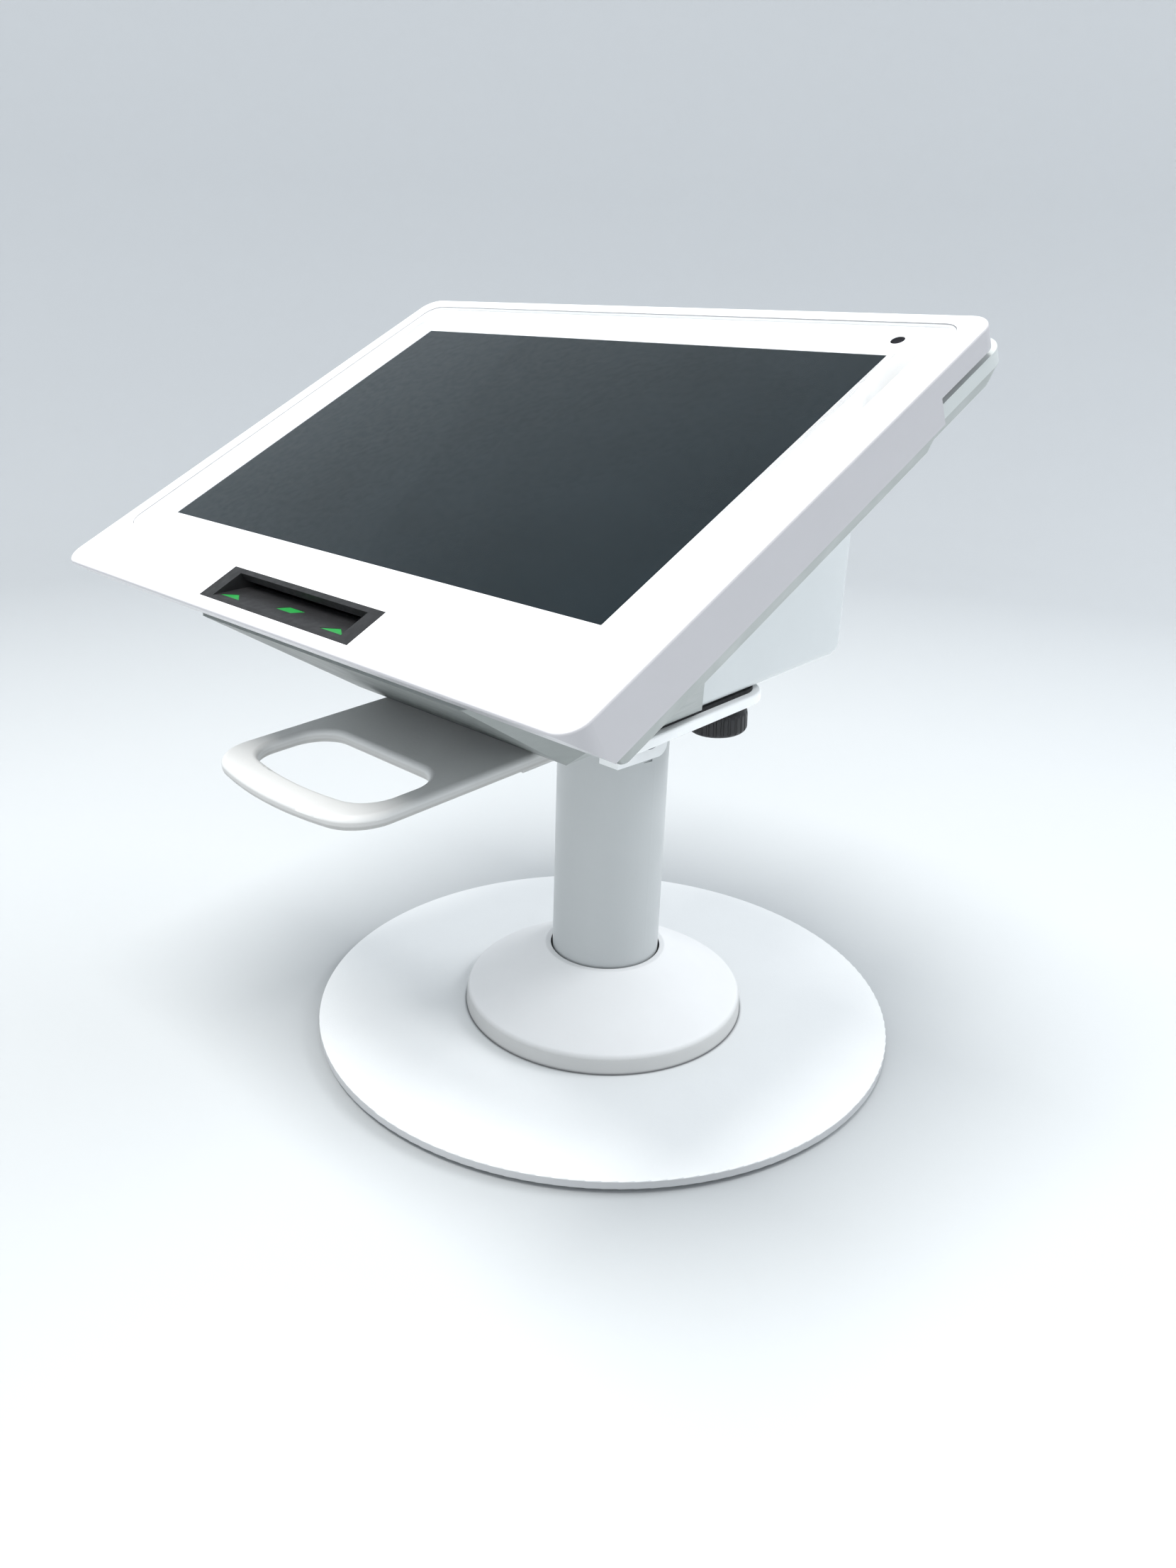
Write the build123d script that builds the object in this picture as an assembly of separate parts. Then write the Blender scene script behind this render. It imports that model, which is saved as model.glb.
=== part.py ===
from build123d import *
import os
from math import atan2, cos, degrees, hypot, pi, radians, sin, sqrt, tan

# A counter-top payment terminal on a swivelling, tilting pole stand.
# Millimetres. Origin: centre of the stand on the counter. +Z up, +X to the
# customer's right, -Y towards the customer. The rest pose is the one modelled.

# ---- Stand: base, pole and swivel ------------------------------------------------------------
PAD_THICKNESS = 1.5
PAD_RADIUS = 9.0
PAD_COUNT = 6
PAD_CIRCLE = 82.0
PLATE_RADIUS = 97.0
PLATE_THICKNESS = 3.0
PLATE_TOP = PAD_THICKNESS + PLATE_THICKNESS
PLATE_EDGE = 0.4
PLATE_SCREW_COUNT = 4
PLATE_SCREW_CIRCLE = 32.3
PLATE_SCREW_RADIUS = 2.0
PLATE_SCREW_LENGTH = 7.5
COVER_RADIUS = 47.4
COVER_RIM = 6.0
COVER_TOP = 25.9
COVER_WALL = 2.0
COVER_NECK_RADIUS = 20.4
COVER_POLE_GAP = 0.6
COVER_TAPER = 0.4
COVER_SHOULDER = 3.2
COVER_RIBS = 3
POLE_RADIUS = 18.0
POLE_WALL = 2.0
POLE_TOP = 102.5
POLE_SLOT_MIDDLE_Y = -3.3
POLE_SLOT_LENGTH = 4.2
POLE_SLOT_Z = 97.7
HOUSING_RADIUS = 36.0
HOUSING_CAVITY_RADIUS = 28.6
HOUSING_ROOF = 2.4
COLLAR_RADIUS = 23.0
COLLAR_TOP = 19.3
BUSH_WALL = 1.95
ROTOR_RADIUS = 24.0
ROTOR_THICKNESS = 3.9
WASHER_THICKNESS = 1.0
SWIVEL_STOP_DEG = 165.0
STOP_PIN_RADIUS = 1.5
STOP_PIN_PLACE = 26.2
CABLE_HOLE_RADIUS = 9.0
SPIGOT_LENGTH = 12.0

# ---- Tilt joint ------------------------------------------------------------------------------
TILT_Y = -9.3
TILT_Z = 110.0
TILT_FORWARD_DEG = 20.0
TILT_BACK_DEG = 25.0
BOLT_RADIUS = 3.0
KNUCKLE_RADIUS = 6.0
KNUCKLE_HALF_WIDTH = 15.0
KNUCKLE_FLAT_Z = 104.0
YOKE_HALF_WIDTH = 21.2
YOKE_SHEET = 2.0
CHEEK_SHEET = 2.5
YOKE_FRONT = -20.6
YOKE_REAR = 1.6
YOKE_LOW = 99.9
YOKE_LIP = 7.7
YOKE_CORNER = 4.0
YOKE_SCREW_PLACES = [(x, y) for x in (-11.5, 11.5) for y in (-15.5, -3.0)]
TRAY_SCREW_RADIUS = 2.0
BOLT_HEAD_RADIUS = 5.5
BOLT_HEAD_HEIGHT = 3.4
BOLT_SOCKET_RADIUS = 2.4
NUT_RADIUS = 5.8
NUT_HEIGHT = 4.8
FRICTION_DISC_RADIUS = 5.6

# ---- Tray and handle, in the terminal's own frame (z = 0 is the foot) ------------
FOOT_HEIGHT = 123.6
TRAY_TILT_DEG = 4.0
GASKET = 1.2
TRAY_THICKNESS = 3.2
TRAY_HALF_WIDTH = 46.3
TRAY_FRONT = -48.0
TRAY_REAR = 20.0
TRAY_CORNER = 10.0
TRAY_EDGE = 0.6
HANDLE_HALF_WIDTH = 33.0
HANDLE_THICKNESS = 4.0
HANDLE_TOP = -0.2
HANDLE_FRONT = -127.0
HANDLE_BOW = 3.5
HANDLE_BAR = 9.0
HANDLE_CORNER = 13.0
GRIP_HALF_WIDTH = 26.3
GRIP_REAR = -91.0
GRIP_CORNER = 9.5
HANDLE_TONGUE = 28.0
HANDLE_SCREW_X = 20.0
HANDLE_SCREW_Y = -40.0
HANDLE_FLANGE = 2.6
KNOB_X = 31.8
KNOB_Y = 11.2
KNOB_RADIUS = 9.2
KNOB_HEIGHT = 7.5
KNOB_GAP = 4.0
KNOB_RIBS = 26
KNOB_EDGE = 1.8
KNOB_GROOVE_RADIUS = 0.55
KNOB_FLOOR = 2.0
STUD_TOP = 8.0
INSERT_TOP = 9.0
INSERT_RADIUS = 4.0
STUD_RADIUS = 2.5
STUD_CLEARANCE = 0.6

# ---- Terminal: display slab, in the frame of its front face ----------------------------------
FACE_ANGLE_DEG = 24.25
FACE_Y = -122.9
FACE_Z = 40.5
SLAB_WIDTH = 210.0
SLAB_HEIGHT = 156.0
SLAB_CORNER = 6.0
RIM_DEPTH = 12.5
RIM_UNDERCUT = 7.5
BACK_DEPTH = 17.5
BACK_BEVEL_DEG = 30.0
SKIN = 2.0
FACE_PLATE = 2.0
FACE_EDGE = 0.9
FIT_GAP = 0.3
SIDE_BOSS_X = 97.5
SIDE_BOSS_U = (24.0, 118.0)
BEZEL_BOSS_RADIUS = 3.4
BEZEL_PILOT_RADIUS = 1.3
GLASS_THICKNESS = 1.1
MASK_THICKNESS = 0.15
GLASS_HALF_WIDTH = 99.0
GLASS_LOW = 20.0
GLASS_HIGH = 151.5
GLASS_CORNER = 5.0
SCREEN_WIDTH = 172.3
SCREEN_HEIGHT = 107.7
SCREEN_LOW = 30.0
PANEL_MARGIN = 1.8
PANEL_THICKNESS = 2.6
CHASSIS_HALF_WIDTH = 92.0
CHASSIS_LOW = 58.0
CHASSIS_SHEET = 0.8
CHASSIS_WINDOW = (26.0, 42.0)
CHASSIS_WINDOW_PITCH = 40.0
CHASSIS_WINDOW_U = 91.0
CAMERA_X = 84.8
CAMERA_U = 144.8
CAMERA_RADIUS = 1.8
CAMERA_HOLE_RADIUS = 3.4
CAMERA_BODY = 6.4
CAMERA_BARREL_RADIUS = 2.6

# ---- Swipe groove and card slot --------------------------------------------------------------
GROOVE_FLOOR = 129.0
GROOVE_FRONT = 6.0
GROOVE_WIDTH = 2.8
LIP_TOP = 162.5
LIP_HALF_WIDTH = 103.6
LIP_CORNER = 8.0
SLOT_FRAME_WIDTH = 64.0
SLOT_FRAME_LOW = 3.8
SLOT_FRAME_HIGH = 16.0
SLOT_FRAME_DEPTH = 9.5
CARD_MOUTH_WIDTH = 54.3
CARD_MOUTH_LOW = 5.0
CARD_MOUTH_HIGH = 14.4
CARD_RAMP_DROP = 5.0
LIGHT_PITCH = 22.0
LIGHT_WIDTH = 9.0
LIGHT_HEIGHT = 2.8
LIGHT_UP_RAMP = 3.0
MIDDLE_LIGHT_SHIFT = 2.2
LIGHT_SUNK = 0.1
READER_START = 8.0
READER_LENGTH = 50.0
READER_HALF_WIDTH = 31.0
READER_HALF_HEIGHT = 2.2
CARD_GAP = 1.2
CONTACT_COUNT = 4
CONTACT_PITCH = 2.54
CONTACT_ROW_PITCH = 6.5
CONTACT_SIZE = (1.0, 4.5, 0.4)
MAG_HEAD_X = -30.0
MAG_HEAD_U = 147.0
MAG_HEAD_HALF = 5.0

# ---- Chin and printer housing ----------------------------------------------------------------
SHELL_WALL = 2.2
SHELL_LOW = 8.3
SHELL_CORNER = 4.5
SHELL_BOSS_RADIUS = 4.0
SHELL_SCREW_RADIUS = 1.25
SHELL_SCREW_HEAD = 2.4
SHELL_SCREW_SUNK = 1.0
SHELL_SCREW_LENGTH = 10.0
WINDOW_TOP_U = 122.0
FOOT_HALF_WIDTH = 44.6
FOOT_FRONT = -65.9
CHIN_REAR = -12.0
CHIN_TOP_LOW_U = 10.0
CHIN_TOP_LOW_X = 55.0
CHIN_TOP_HIGH_U = 39.0
CHIN_TOP_HIGH_X = 101.0
HOUSING_REAR = 57.6
HOUSING_REAR_TOP_Z = 76.0
HOUSING_TOP_U = 138.0
HOUSING_CORNER = 5.0
HOUSING_UPRIGHT_CORNER = 3.0
DOOR_HALF_WIDTH = 38.0
DOOR_WALL = 2.4
DOOR_GAP = 0.4
HINGE_Z = 58.0
HINGE_PIN_RADIUS = 1.2
HINGE_KNUCKLE_RADIUS = 2.6
HINGE_LUG = 4.0
HINGE_LUG_GAP = 0.2
SEAM_GAP = 0.2
POWER_PLACE = (6.0, 58.0)
RELEASE_PLACE = (44.0, 66.0)
BUTTON_RADIUS = 3.6
BUTTON_PROUD = 0.9
BUTTON_FLANGE = 1.3
CONNECTOR_Z = 14.0
CONNECTOR_DEPTH = 9.0
CONNECTORS = ((-22.0, 9.0, 3.4), (0.0, 14.0, 12.0), (24.0, 12.0, 6.5))

# ---- Printer mechanism -----------------------------------------------------------------------
ROLL_WIDTH = 57.0
ROLL_RADIUS = 20.0
ROLL_CORE_RADIUS = 8.5
ROLL_Y = 35.0
ROLL_Z = 36.0
CRADLE_X = 34.0
CRADLE_SHEET = 1.8
CRADLE_LENGTH = 16.0
CORE_WALL = 1.5
PLATEN_Y = 25.5
PLATEN_Z = 72.2
PLATEN_RADIUS = 4.5
PLATEN_HALF_LENGTH = 29.0
SHAFT_RADIUS = 2.0
LUG_THICKNESS = 1.6
LUG_TOP = 77.5
BUSH_RADIUS = 3.0
EXIT_SLOT = 1.8
TEAR_SHEET = 0.5
TEAR_TEETH = 28
TEAR_TOOTH = 1.2
TEAR_STRIP = 3.2
HEAD_HALF_LENGTH = 29.0
HEAD_STRIP = 0.9
HEAD_BAR = 3.6
HEAD_FIN_PITCH = 8
HEAD_RAIL = 1.2
GEAR_MODULE = 0.5
GEAR_FACE = 3.0
GEAR_X = 32.0
PLATEN_TEETH = 18
IDLER_TEETH = 24
PINION_TEETH = 12
PRESSURE_ANGLE_DEG = 20.0
BACKLASH = 0.10
IDLER_POST_RADIUS = 1.5
GEAR_SHEET = 1.0
MOTOR_RADIUS = 7.5
MOTOR_LENGTH = 14.0
MOTOR_SHAFT_RADIUS = 1.0
PINION_ANGLE = radians(215)
RUNNING_FIT = 0.05

# ---- Electronics, in the front face's frame --------------------------------------------------
BOARD_TOP = -8.4
BOARD_THICKNESS = 1.2
BOARD_HALF_WIDTH = 88.0
BOARD_LOW = 76.0
BOARD_HIGH = 122.0
SHIELD_HEIGHT = 1.8
SHIELDS = ((-55.0, 34.0), (-8.0, 28.0), (38.0, 40.0))
SPEAKER_X = 55.0
SPEAKER_WIDTH = 22.0

TILT_RAD = radians(TRAY_TILT_DEG)
TRAY_TOP = -GASKET
TRAY_LOW = TRAY_TOP - TRAY_THICKNESS
KNOB_TOP = TRAY_LOW - KNOB_GAP
PANEL_TOP = -GLASS_THICKNESS - MASK_THICKNESS
EXIT_Y = PLATEN_Y - PLATEN_RADIUS
DOOR_FRONT = EXIT_Y - SEAM_GAP + EXIT_SLOT
GEAR_PLATE_X = GEAR_X + GEAR_FACE + LUG_THICKNESS
MOTOR_FACE_X = GEAR_X - 2.0
LUG_X = PLATEN_HALF_LENGTH + LUG_THICKNESS
HEAD_FACE_Y = PLATEN_Y - PLATEN_RADIUS - RUNNING_FIT

# The terminal's frame: its foot rests on the tray, which is pitched by 4 degrees.
TERMINAL = Pos(0, 0, FOOT_HEIGHT) * Rot(TRAY_TILT_DEG, 0, 0)

# The front face's frame inside it: x across, y up the face (u), z out of it (n).
FACE = Pos(0, FACE_Y, FACE_Z) * Rot(FACE_ANGLE_DEG, 0, 0)

UPRIGHT = (Align.CENTER, Align.CENTER, Align.MIN)


# ---- Shape helpers ---------------------------------------------------------------------------
def block(x0, x1, y0, y1, z0, z1):
    """A box between two corners."""
    centre = Pos((x0 + x1) / 2, (y0 + y1) / 2, (z0 + z1) / 2)
    return centre * Box(x1 - x0, y1 - y0, z1 - z0)


def rounded_block(x0, x1, y0, y1, z0, z1, radius):
    """A box whose four edges along z are rounded."""
    outline = RectangleRounded(x1 - x0, y1 - y0, radius)
    return Pos((x0 + x1) / 2, (y0 + y1) / 2, z0) * extrude(outline, z1 - z0)


def disc(radius, z0, z1, x=0.0, y=0.0):
    """A cylinder along z."""
    return Pos(x, y, z0) * Cylinder(radius, z1 - z0, align=UPRIGHT)


def ring(outer, inner, z0, z1):
    """A tube along z."""
    return disc(outer, z0, z1) - disc(inner, z0, z1)


def rod(radius, x0, x1, y, z):
    """A cylinder along x."""
    return Pos(x0, y, z) * Rot(0, 90, 0) * Cylinder(radius, x1 - x0, align=UPRIGHT)


def cross_prism(points, half_width):
    """A prism along x with its section given as (y, z) points."""
    section = make_face(Polyline(*[(0, y, z) for y, z in points], close=True))
    return extrude(section, half_width, both=True)


def turned(points):
    """A solid of revolution about z with its half section given as (radius, z) points."""
    return revolve(make_face(Polyline(*[(r, 0, z) for r, z in points], close=True)), Axis.Z)


def circles_of_radius(solid, radius):
    """The solid's circular edges of one radius."""
    circles = solid.edges().filter_by(GeomType.CIRCLE)
    return circles.filter_by(lambda edge: abs(edge.radius - radius) < 0.01)


def countersunk_screw(radius, length):
    """A flat-head screw, head at z = 0 and shank along +z, with a hex socket."""
    head = Cone(2 * radius, radius, radius, align=UPRIGHT)
    shank = disc(radius, radius, length)
    socket = extrude(RegularPolygon(radius * 0.7, 6), radius * 0.8)
    return head + shank - socket


def countersunk_hole(radius, length):
    """The hole such a screw sits in, a running fit larger all round."""
    wide = radius + RUNNING_FIT
    head = Cone(2 * radius + RUNNING_FIT, wide, radius, align=UPRIGHT)
    return head + disc(wide, 0, length)


def face_point(x, u, n):
    """A point of the slab's frame, given in the terminal's frame."""
    angle = radians(FACE_ANGLE_DEG)
    return (
        x,
        FACE_Y + u * cos(angle) - n * sin(angle),
        FACE_Z + u * sin(angle) + n * cos(angle),
    )


def trim(solid, a, b, c, inside, inset=0.0):
    """Keeps the part of a solid on the inside of the plane through three points."""
    a, b, c, inside = Vector(*a), Vector(*b), Vector(*c), Vector(*inside)
    normal = (b - a).cross(c - a).normalized()
    if normal.dot(inside - a) > 0:
        normal = -normal
    plane = Plane(origin=a - normal * inset, z_dir=normal)
    return split(solid, bisect_by=plane, keep=Keep.BOTTOM)


def around(count, radius, start_deg=0.0):
    """Places evenly spaced on a circle."""
    for i in range(count):
        angle = radians(start_deg + 360 * i / count)
        yield radius * cos(angle), radius * sin(angle)


# ---- Base ------------------------------------------------------------------------------------
def base_pads():
    """One pad in the middle and a ring of them near the rim."""
    places = [(0, 0), *around(PAD_COUNT, PAD_CIRCLE)]
    return Compound(children=[disc(PAD_RADIUS, 0, PAD_THICKNESS, x, y) for x, y in places])


def plate_screw_places():
    return around(PLATE_SCREW_COUNT, PLATE_SCREW_CIRCLE, 45)


def base_plate():
    plate = disc(PLATE_RADIUS, PAD_THICKNESS, PLATE_TOP)
    plate = fillet(plate.edges(), PLATE_EDGE)
    for x, y in plate_screw_places():
        plate -= Pos(x, y, PAD_THICKNESS) * countersunk_hole(PLATE_SCREW_RADIUS, PLATE_SCREW_LENGTH)
    return plate


def plate_screws():
    screw = countersunk_screw(PLATE_SCREW_RADIUS, PLATE_SCREW_LENGTH)
    places = plate_screw_places()
    return Compound(children=[Pos(x, y, PAD_THICKNESS) * screw for x, y in places])


LOWER_WASHER_TOP = PLATE_TOP + WASHER_THICKNESS
ROTOR_LOW = LOWER_WASHER_TOP + RUNNING_FIT
ROTOR_TOP = ROTOR_LOW + ROTOR_THICKNESS
UPPER_WASHER_LOW = ROTOR_TOP + RUNNING_FIT
CAVITY_TOP = UPPER_WASHER_LOW + WASHER_THICKNESS
HOUSING_TOP = CAVITY_TOP + HOUSING_ROOF


def swivel_housing():
    body = disc(HOUSING_RADIUS, PLATE_TOP, HOUSING_TOP)
    body = chamfer(body.edges().group_by(Axis.Z)[-1], 1.0)
    body += disc(COLLAR_RADIUS, HOUSING_TOP, COLLAR_TOP)
    body -= disc(HOUSING_CAVITY_RADIUS, PLATE_TOP, CAVITY_TOP)
    body -= disc(POLE_RADIUS + RUNNING_FIT + BUSH_WALL, CAVITY_TOP, COLLAR_TOP)
    for x, y in plate_screw_places():
        body -= disc(PLATE_SCREW_RADIUS + RUNNING_FIT, PLATE_TOP, HOUSING_TOP - 1.5, x, y)
    stop = disc(STOP_PIN_RADIUS, PLATE_TOP, CAVITY_TOP, 0, -STOP_PIN_PLACE)
    return body + stop


def swivel_bush():
    inner = POLE_RADIUS + RUNNING_FIT
    return ring(inner + BUSH_WALL, inner, CAVITY_TOP, COLLAR_TOP)


def thrust_washers():
    lower = ring(ROTOR_RADIUS, 10, PLATE_TOP, LOWER_WASHER_TOP)
    upper = ring(ROTOR_RADIUS, POLE_RADIUS + 0.2, UPPER_WASHER_LOW, CAVITY_TOP)
    return Compound(children=[lower, upper])


def base_cover():
    """Hollow cone that hides the swivel, with three ribs that centre it."""
    rim_top = PLATE_TOP + COVER_RIM
    bore = POLE_RADIUS + COVER_POLE_GAP
    shoulder = COVER_RADIUS - COVER_TAPER
    ceiling = COVER_TOP - COVER_WALL - COVER_TAPER
    outer = turned([
        (bore, PLATE_TOP), (COVER_RADIUS, PLATE_TOP), (shoulder, rim_top),
        (COVER_NECK_RADIUS, COVER_TOP), (bore, COVER_TOP),
    ])
    outer = fillet(circles_of_radius(outer, shoulder), COVER_SHOULDER)
    outer = fillet(circles_of_radius(outer, COVER_NECK_RADIUS), COVER_WALL / 2)
    inner = turned([
        (0, PLATE_TOP), (COVER_RADIUS - COVER_WALL, PLATE_TOP),
        (shoulder - COVER_WALL, rim_top - COVER_WALL / 2),
        (COVER_NECK_RADIUS, ceiling), (0, ceiling),
    ])
    shell = outer - inner
    rib = block(
        HOUSING_RADIUS, COVER_RADIUS - COVER_WALL / 2, -COVER_WALL / 2, COVER_WALL / 2,
        PLATE_TOP, PLATE_TOP + 2 * COVER_WALL,
    )
    for i in range(COVER_RIBS):
        shell += Rot(0, 0, 360 * i / COVER_RIBS) * rib
    return shell


# ---- Pole ------------------------------------------------------------------------------------
def pole_foot():
    """Rotor with the stop tab, trapped in the housing, and a spigot inside the pole."""
    tab_half = 180 - SWIVEL_STOP_DEG - degrees(STOP_PIN_RADIUS / STOP_PIN_PLACE) - 0.5
    reach = HOUSING_CAVITY_RADIUS - 0.7
    corner = reach * tan(radians(tab_half))
    wedge = make_face(Polyline((0, 0), (corner, reach), (-corner, reach), close=True))
    tab = extrude(wedge, ROTOR_THICKNESS) & Cylinder(reach, 3 * ROTOR_THICKNESS)
    rotor = disc(ROTOR_RADIUS, ROTOR_LOW, ROTOR_TOP) + Pos(0, 0, ROTOR_LOW) * tab
    spigot = disc(POLE_RADIUS - POLE_WALL, ROTOR_TOP, ROTOR_TOP + SPIGOT_LENGTH)
    return rotor + spigot - disc(CABLE_HOLE_RADIUS, ROTOR_LOW, ROTOR_TOP + SPIGOT_LENGTH)


def pole_tube():
    tube = ring(POLE_RADIUS, POLE_RADIUS - POLE_WALL, ROTOR_TOP, POLE_TOP)
    slot_y = POLE_SLOT_MIDDLE_Y
    slot = block(
        POLE_RADIUS - POLE_WALL / 3, POLE_RADIUS + 1, slot_y - POLE_SLOT_LENGTH / 2,
        slot_y + POLE_SLOT_LENGTH / 2, POLE_SLOT_Z - 0.5, POLE_SLOT_Z + 0.5,
    )
    return tube - slot


def pole_knuckle():
    """Plug in the pole's top; its roof slopes are the two tilt stops."""
    head = disc(POLE_RADIUS, POLE_TOP, TILT_Z + 2 * KNUCKLE_RADIUS)
    reach = 3 * POLE_RADIUS
    for side in (-1, 1):
        head -= block(
            side * (KNUCKLE_HALF_WIDTH + 5) - 5, side * (KNUCKLE_HALF_WIDTH + 5) + 5,
            -reach, reach, KNUCKLE_FLAT_Z, TILT_Z + reach,
        )
    slopes = (TILT_FORWARD_DEG + TRAY_TILT_DEG + 1, 0, TRAY_TILT_DEG - TILT_BACK_DEG - 1)
    for slope in slopes:
        above = block(-reach, reach, -reach, reach, KNUCKLE_RADIUS, KNUCKLE_RADIUS + reach)
        head -= Pos(0, TILT_Y, TILT_Z) * Rot(slope, 0, 0) * above
    head += disc(POLE_RADIUS - POLE_WALL, POLE_TOP - SPIGOT_LENGTH, POLE_TOP)
    return head - rod(BOLT_RADIUS + RUNNING_FIT, -reach, reach, TILT_Y, TILT_Z)


# ---- Tilt yoke -------------------------------------------------------------------------------
def tray_under(y):
    """Height of the tray's underside above the counter."""
    return FOOT_HEIGHT + (y * sin(TILT_RAD) + TRAY_LOW) / cos(TILT_RAD)


def tilt_yoke():
    """Folded sheet channel under the tray; its front lips leave the middle open."""
    far = 2 * YOKE_HALF_WIDTH
    web = block(
        -YOKE_HALF_WIDTH, YOKE_HALF_WIDTH, YOKE_FRONT - YOKE_SHEET, YOKE_REAR + YOKE_SHEET,
        TRAY_LOW - YOKE_SHEET, TRAY_LOW,
    )
    yoke = (TERMINAL * web) & block(-far, far, YOKE_FRONT, YOKE_REAR, 0, FOOT_HEIGHT)
    cheek = [
        (YOKE_FRONT, YOKE_LOW),
        (YOKE_REAR, YOKE_LOW),
        (YOKE_REAR, tray_under(YOKE_REAR)),
        (YOKE_FRONT, tray_under(YOKE_FRONT)),
    ]
    walls = cross_prism(cheek, YOKE_HALF_WIDTH)
    inner = YOKE_HALF_WIDTH - CHEEK_SHEET
    walls -= block(-inner, inner, YOKE_FRONT + YOKE_SHEET, YOKE_REAR + 1, 0, FOOT_HEIGHT)
    lips = YOKE_HALF_WIDTH - YOKE_LIP
    walls -= block(-lips, lips, -far, far, 0, FOOT_HEIGHT)
    yoke += walls
    rear_low = yoke.edges().filter_by(Axis.X).filter_by(
        lambda e: e.center().Z < YOKE_LOW + 0.1 and e.center().Y > YOKE_REAR - 0.1
    )
    yoke = fillet(rear_low, YOKE_CORNER)
    yoke -= rod(BOLT_RADIUS + RUNNING_FIT, -far, far, TILT_Y, TILT_Z)
    for x, y in YOKE_SCREW_PLACES:
        yoke -= TERMINAL * disc(TRAY_SCREW_RADIUS + RUNNING_FIT, 3 * TRAY_LOW, 0, x, y)
    return yoke


def tilt_bolt():
    outside = YOKE_HALF_WIDTH
    head = rod(BOLT_HEAD_RADIUS, outside, outside + BOLT_HEAD_HEIGHT, TILT_Y, TILT_Z)
    head = fillet(head.edges().sort_by(Axis.X)[-1], BOLT_HEAD_HEIGHT / 3)
    socket = extrude(RegularPolygon(BOLT_SOCKET_RADIUS, 6), BOLT_HEAD_HEIGHT)
    head -= Pos(outside + BOLT_HEAD_HEIGHT / 3, TILT_Y, TILT_Z) * Rot(0, 90, 0) * socket
    return head + rod(BOLT_RADIUS, -outside - NUT_HEIGHT - 0.8, outside, TILT_Y, TILT_Z)


def tilt_nut():
    nut = extrude(RegularPolygon(NUT_RADIUS, 6), NUT_HEIGHT)
    nut = Pos(-YOKE_HALF_WIDTH - NUT_HEIGHT, TILT_Y, TILT_Z) * Rot(0, 90, 0) * nut
    return nut - rod(BOLT_RADIUS + RUNNING_FIT, -2 * YOKE_HALF_WIDTH, 0, TILT_Y, TILT_Z)


def friction_discs():
    """Nylon discs that the yoke turns against on each side of the knuckle."""
    inner = KNUCKLE_HALF_WIDTH + RUNNING_FIT
    outer = YOKE_HALF_WIDTH - CHEEK_SHEET
    bore = rod(BOLT_RADIUS + RUNNING_FIT, -outer, outer, TILT_Y, TILT_Z)
    right = rod(FRICTION_DISC_RADIUS, inner, outer, TILT_Y, TILT_Z) - bore
    left = rod(FRICTION_DISC_RADIUS, -outer, -inner, TILT_Y, TILT_Z) - bore
    return Compound(children=[right, left])


# ---- Tray, handle and thumbscrews, in the terminal's frame -----------------------------------
def sides(x):
    return (-x, x)


def tray_screw_places():
    return YOKE_SCREW_PLACES + [(x, HANDLE_SCREW_Y) for x in sides(HANDLE_SCREW_X)]


def mounting_tray():
    tray = rounded_block(
        -TRAY_HALF_WIDTH, TRAY_HALF_WIDTH, TRAY_FRONT, TRAY_REAR, TRAY_LOW, TRAY_TOP, TRAY_CORNER
    )
    levels = tray.edges().group_by(Axis.Z)
    tray = fillet(levels[0] + levels[-1], TRAY_EDGE)
    hole = Rot(180, 0, 0) * countersunk_hole(TRAY_SCREW_RADIUS, 2 * TRAY_THICKNESS)
    for x, y in tray_screw_places():
        tray -= Pos(x, y, TRAY_TOP) * hole
    for x in sides(KNOB_X):
        tray -= disc(STUD_RADIUS + STUD_CLEARANCE, TRAY_LOW - 1, TRAY_TOP + 1, x, KNOB_Y)
    return TERMINAL * tray


def foot_gasket():
    """Dark cushion between foot and tray, set in a little from the tray's edge."""
    edge = TRAY_HALF_WIDTH - 2.6
    pad = rounded_block(-edge, edge, TRAY_FRONT + 1.5, TRAY_REAR - 2, TRAY_TOP, 0, TRAY_CORNER - 2)
    for x in sides(KNOB_X):
        pad -= disc(STUD_RADIUS + STUD_CLEARANCE, TRAY_LOW, 1, x, KNOB_Y)
    return TERMINAL * pad


def bowed_outline(half_width, rear, front, bow_radius, bow_centre, corner):
    """A rectangle whose front edge is a shallow arc between rounded corners."""
    plate = Pos(0, (rear + front) / 2) * Rectangle(2 * half_width, rear - front)
    plate &= Pos(0, bow_centre) * Circle(bow_radius)
    tips = plate.vertices().group_by(Axis.Y)[0]
    return fillet(tips, corner)


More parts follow.
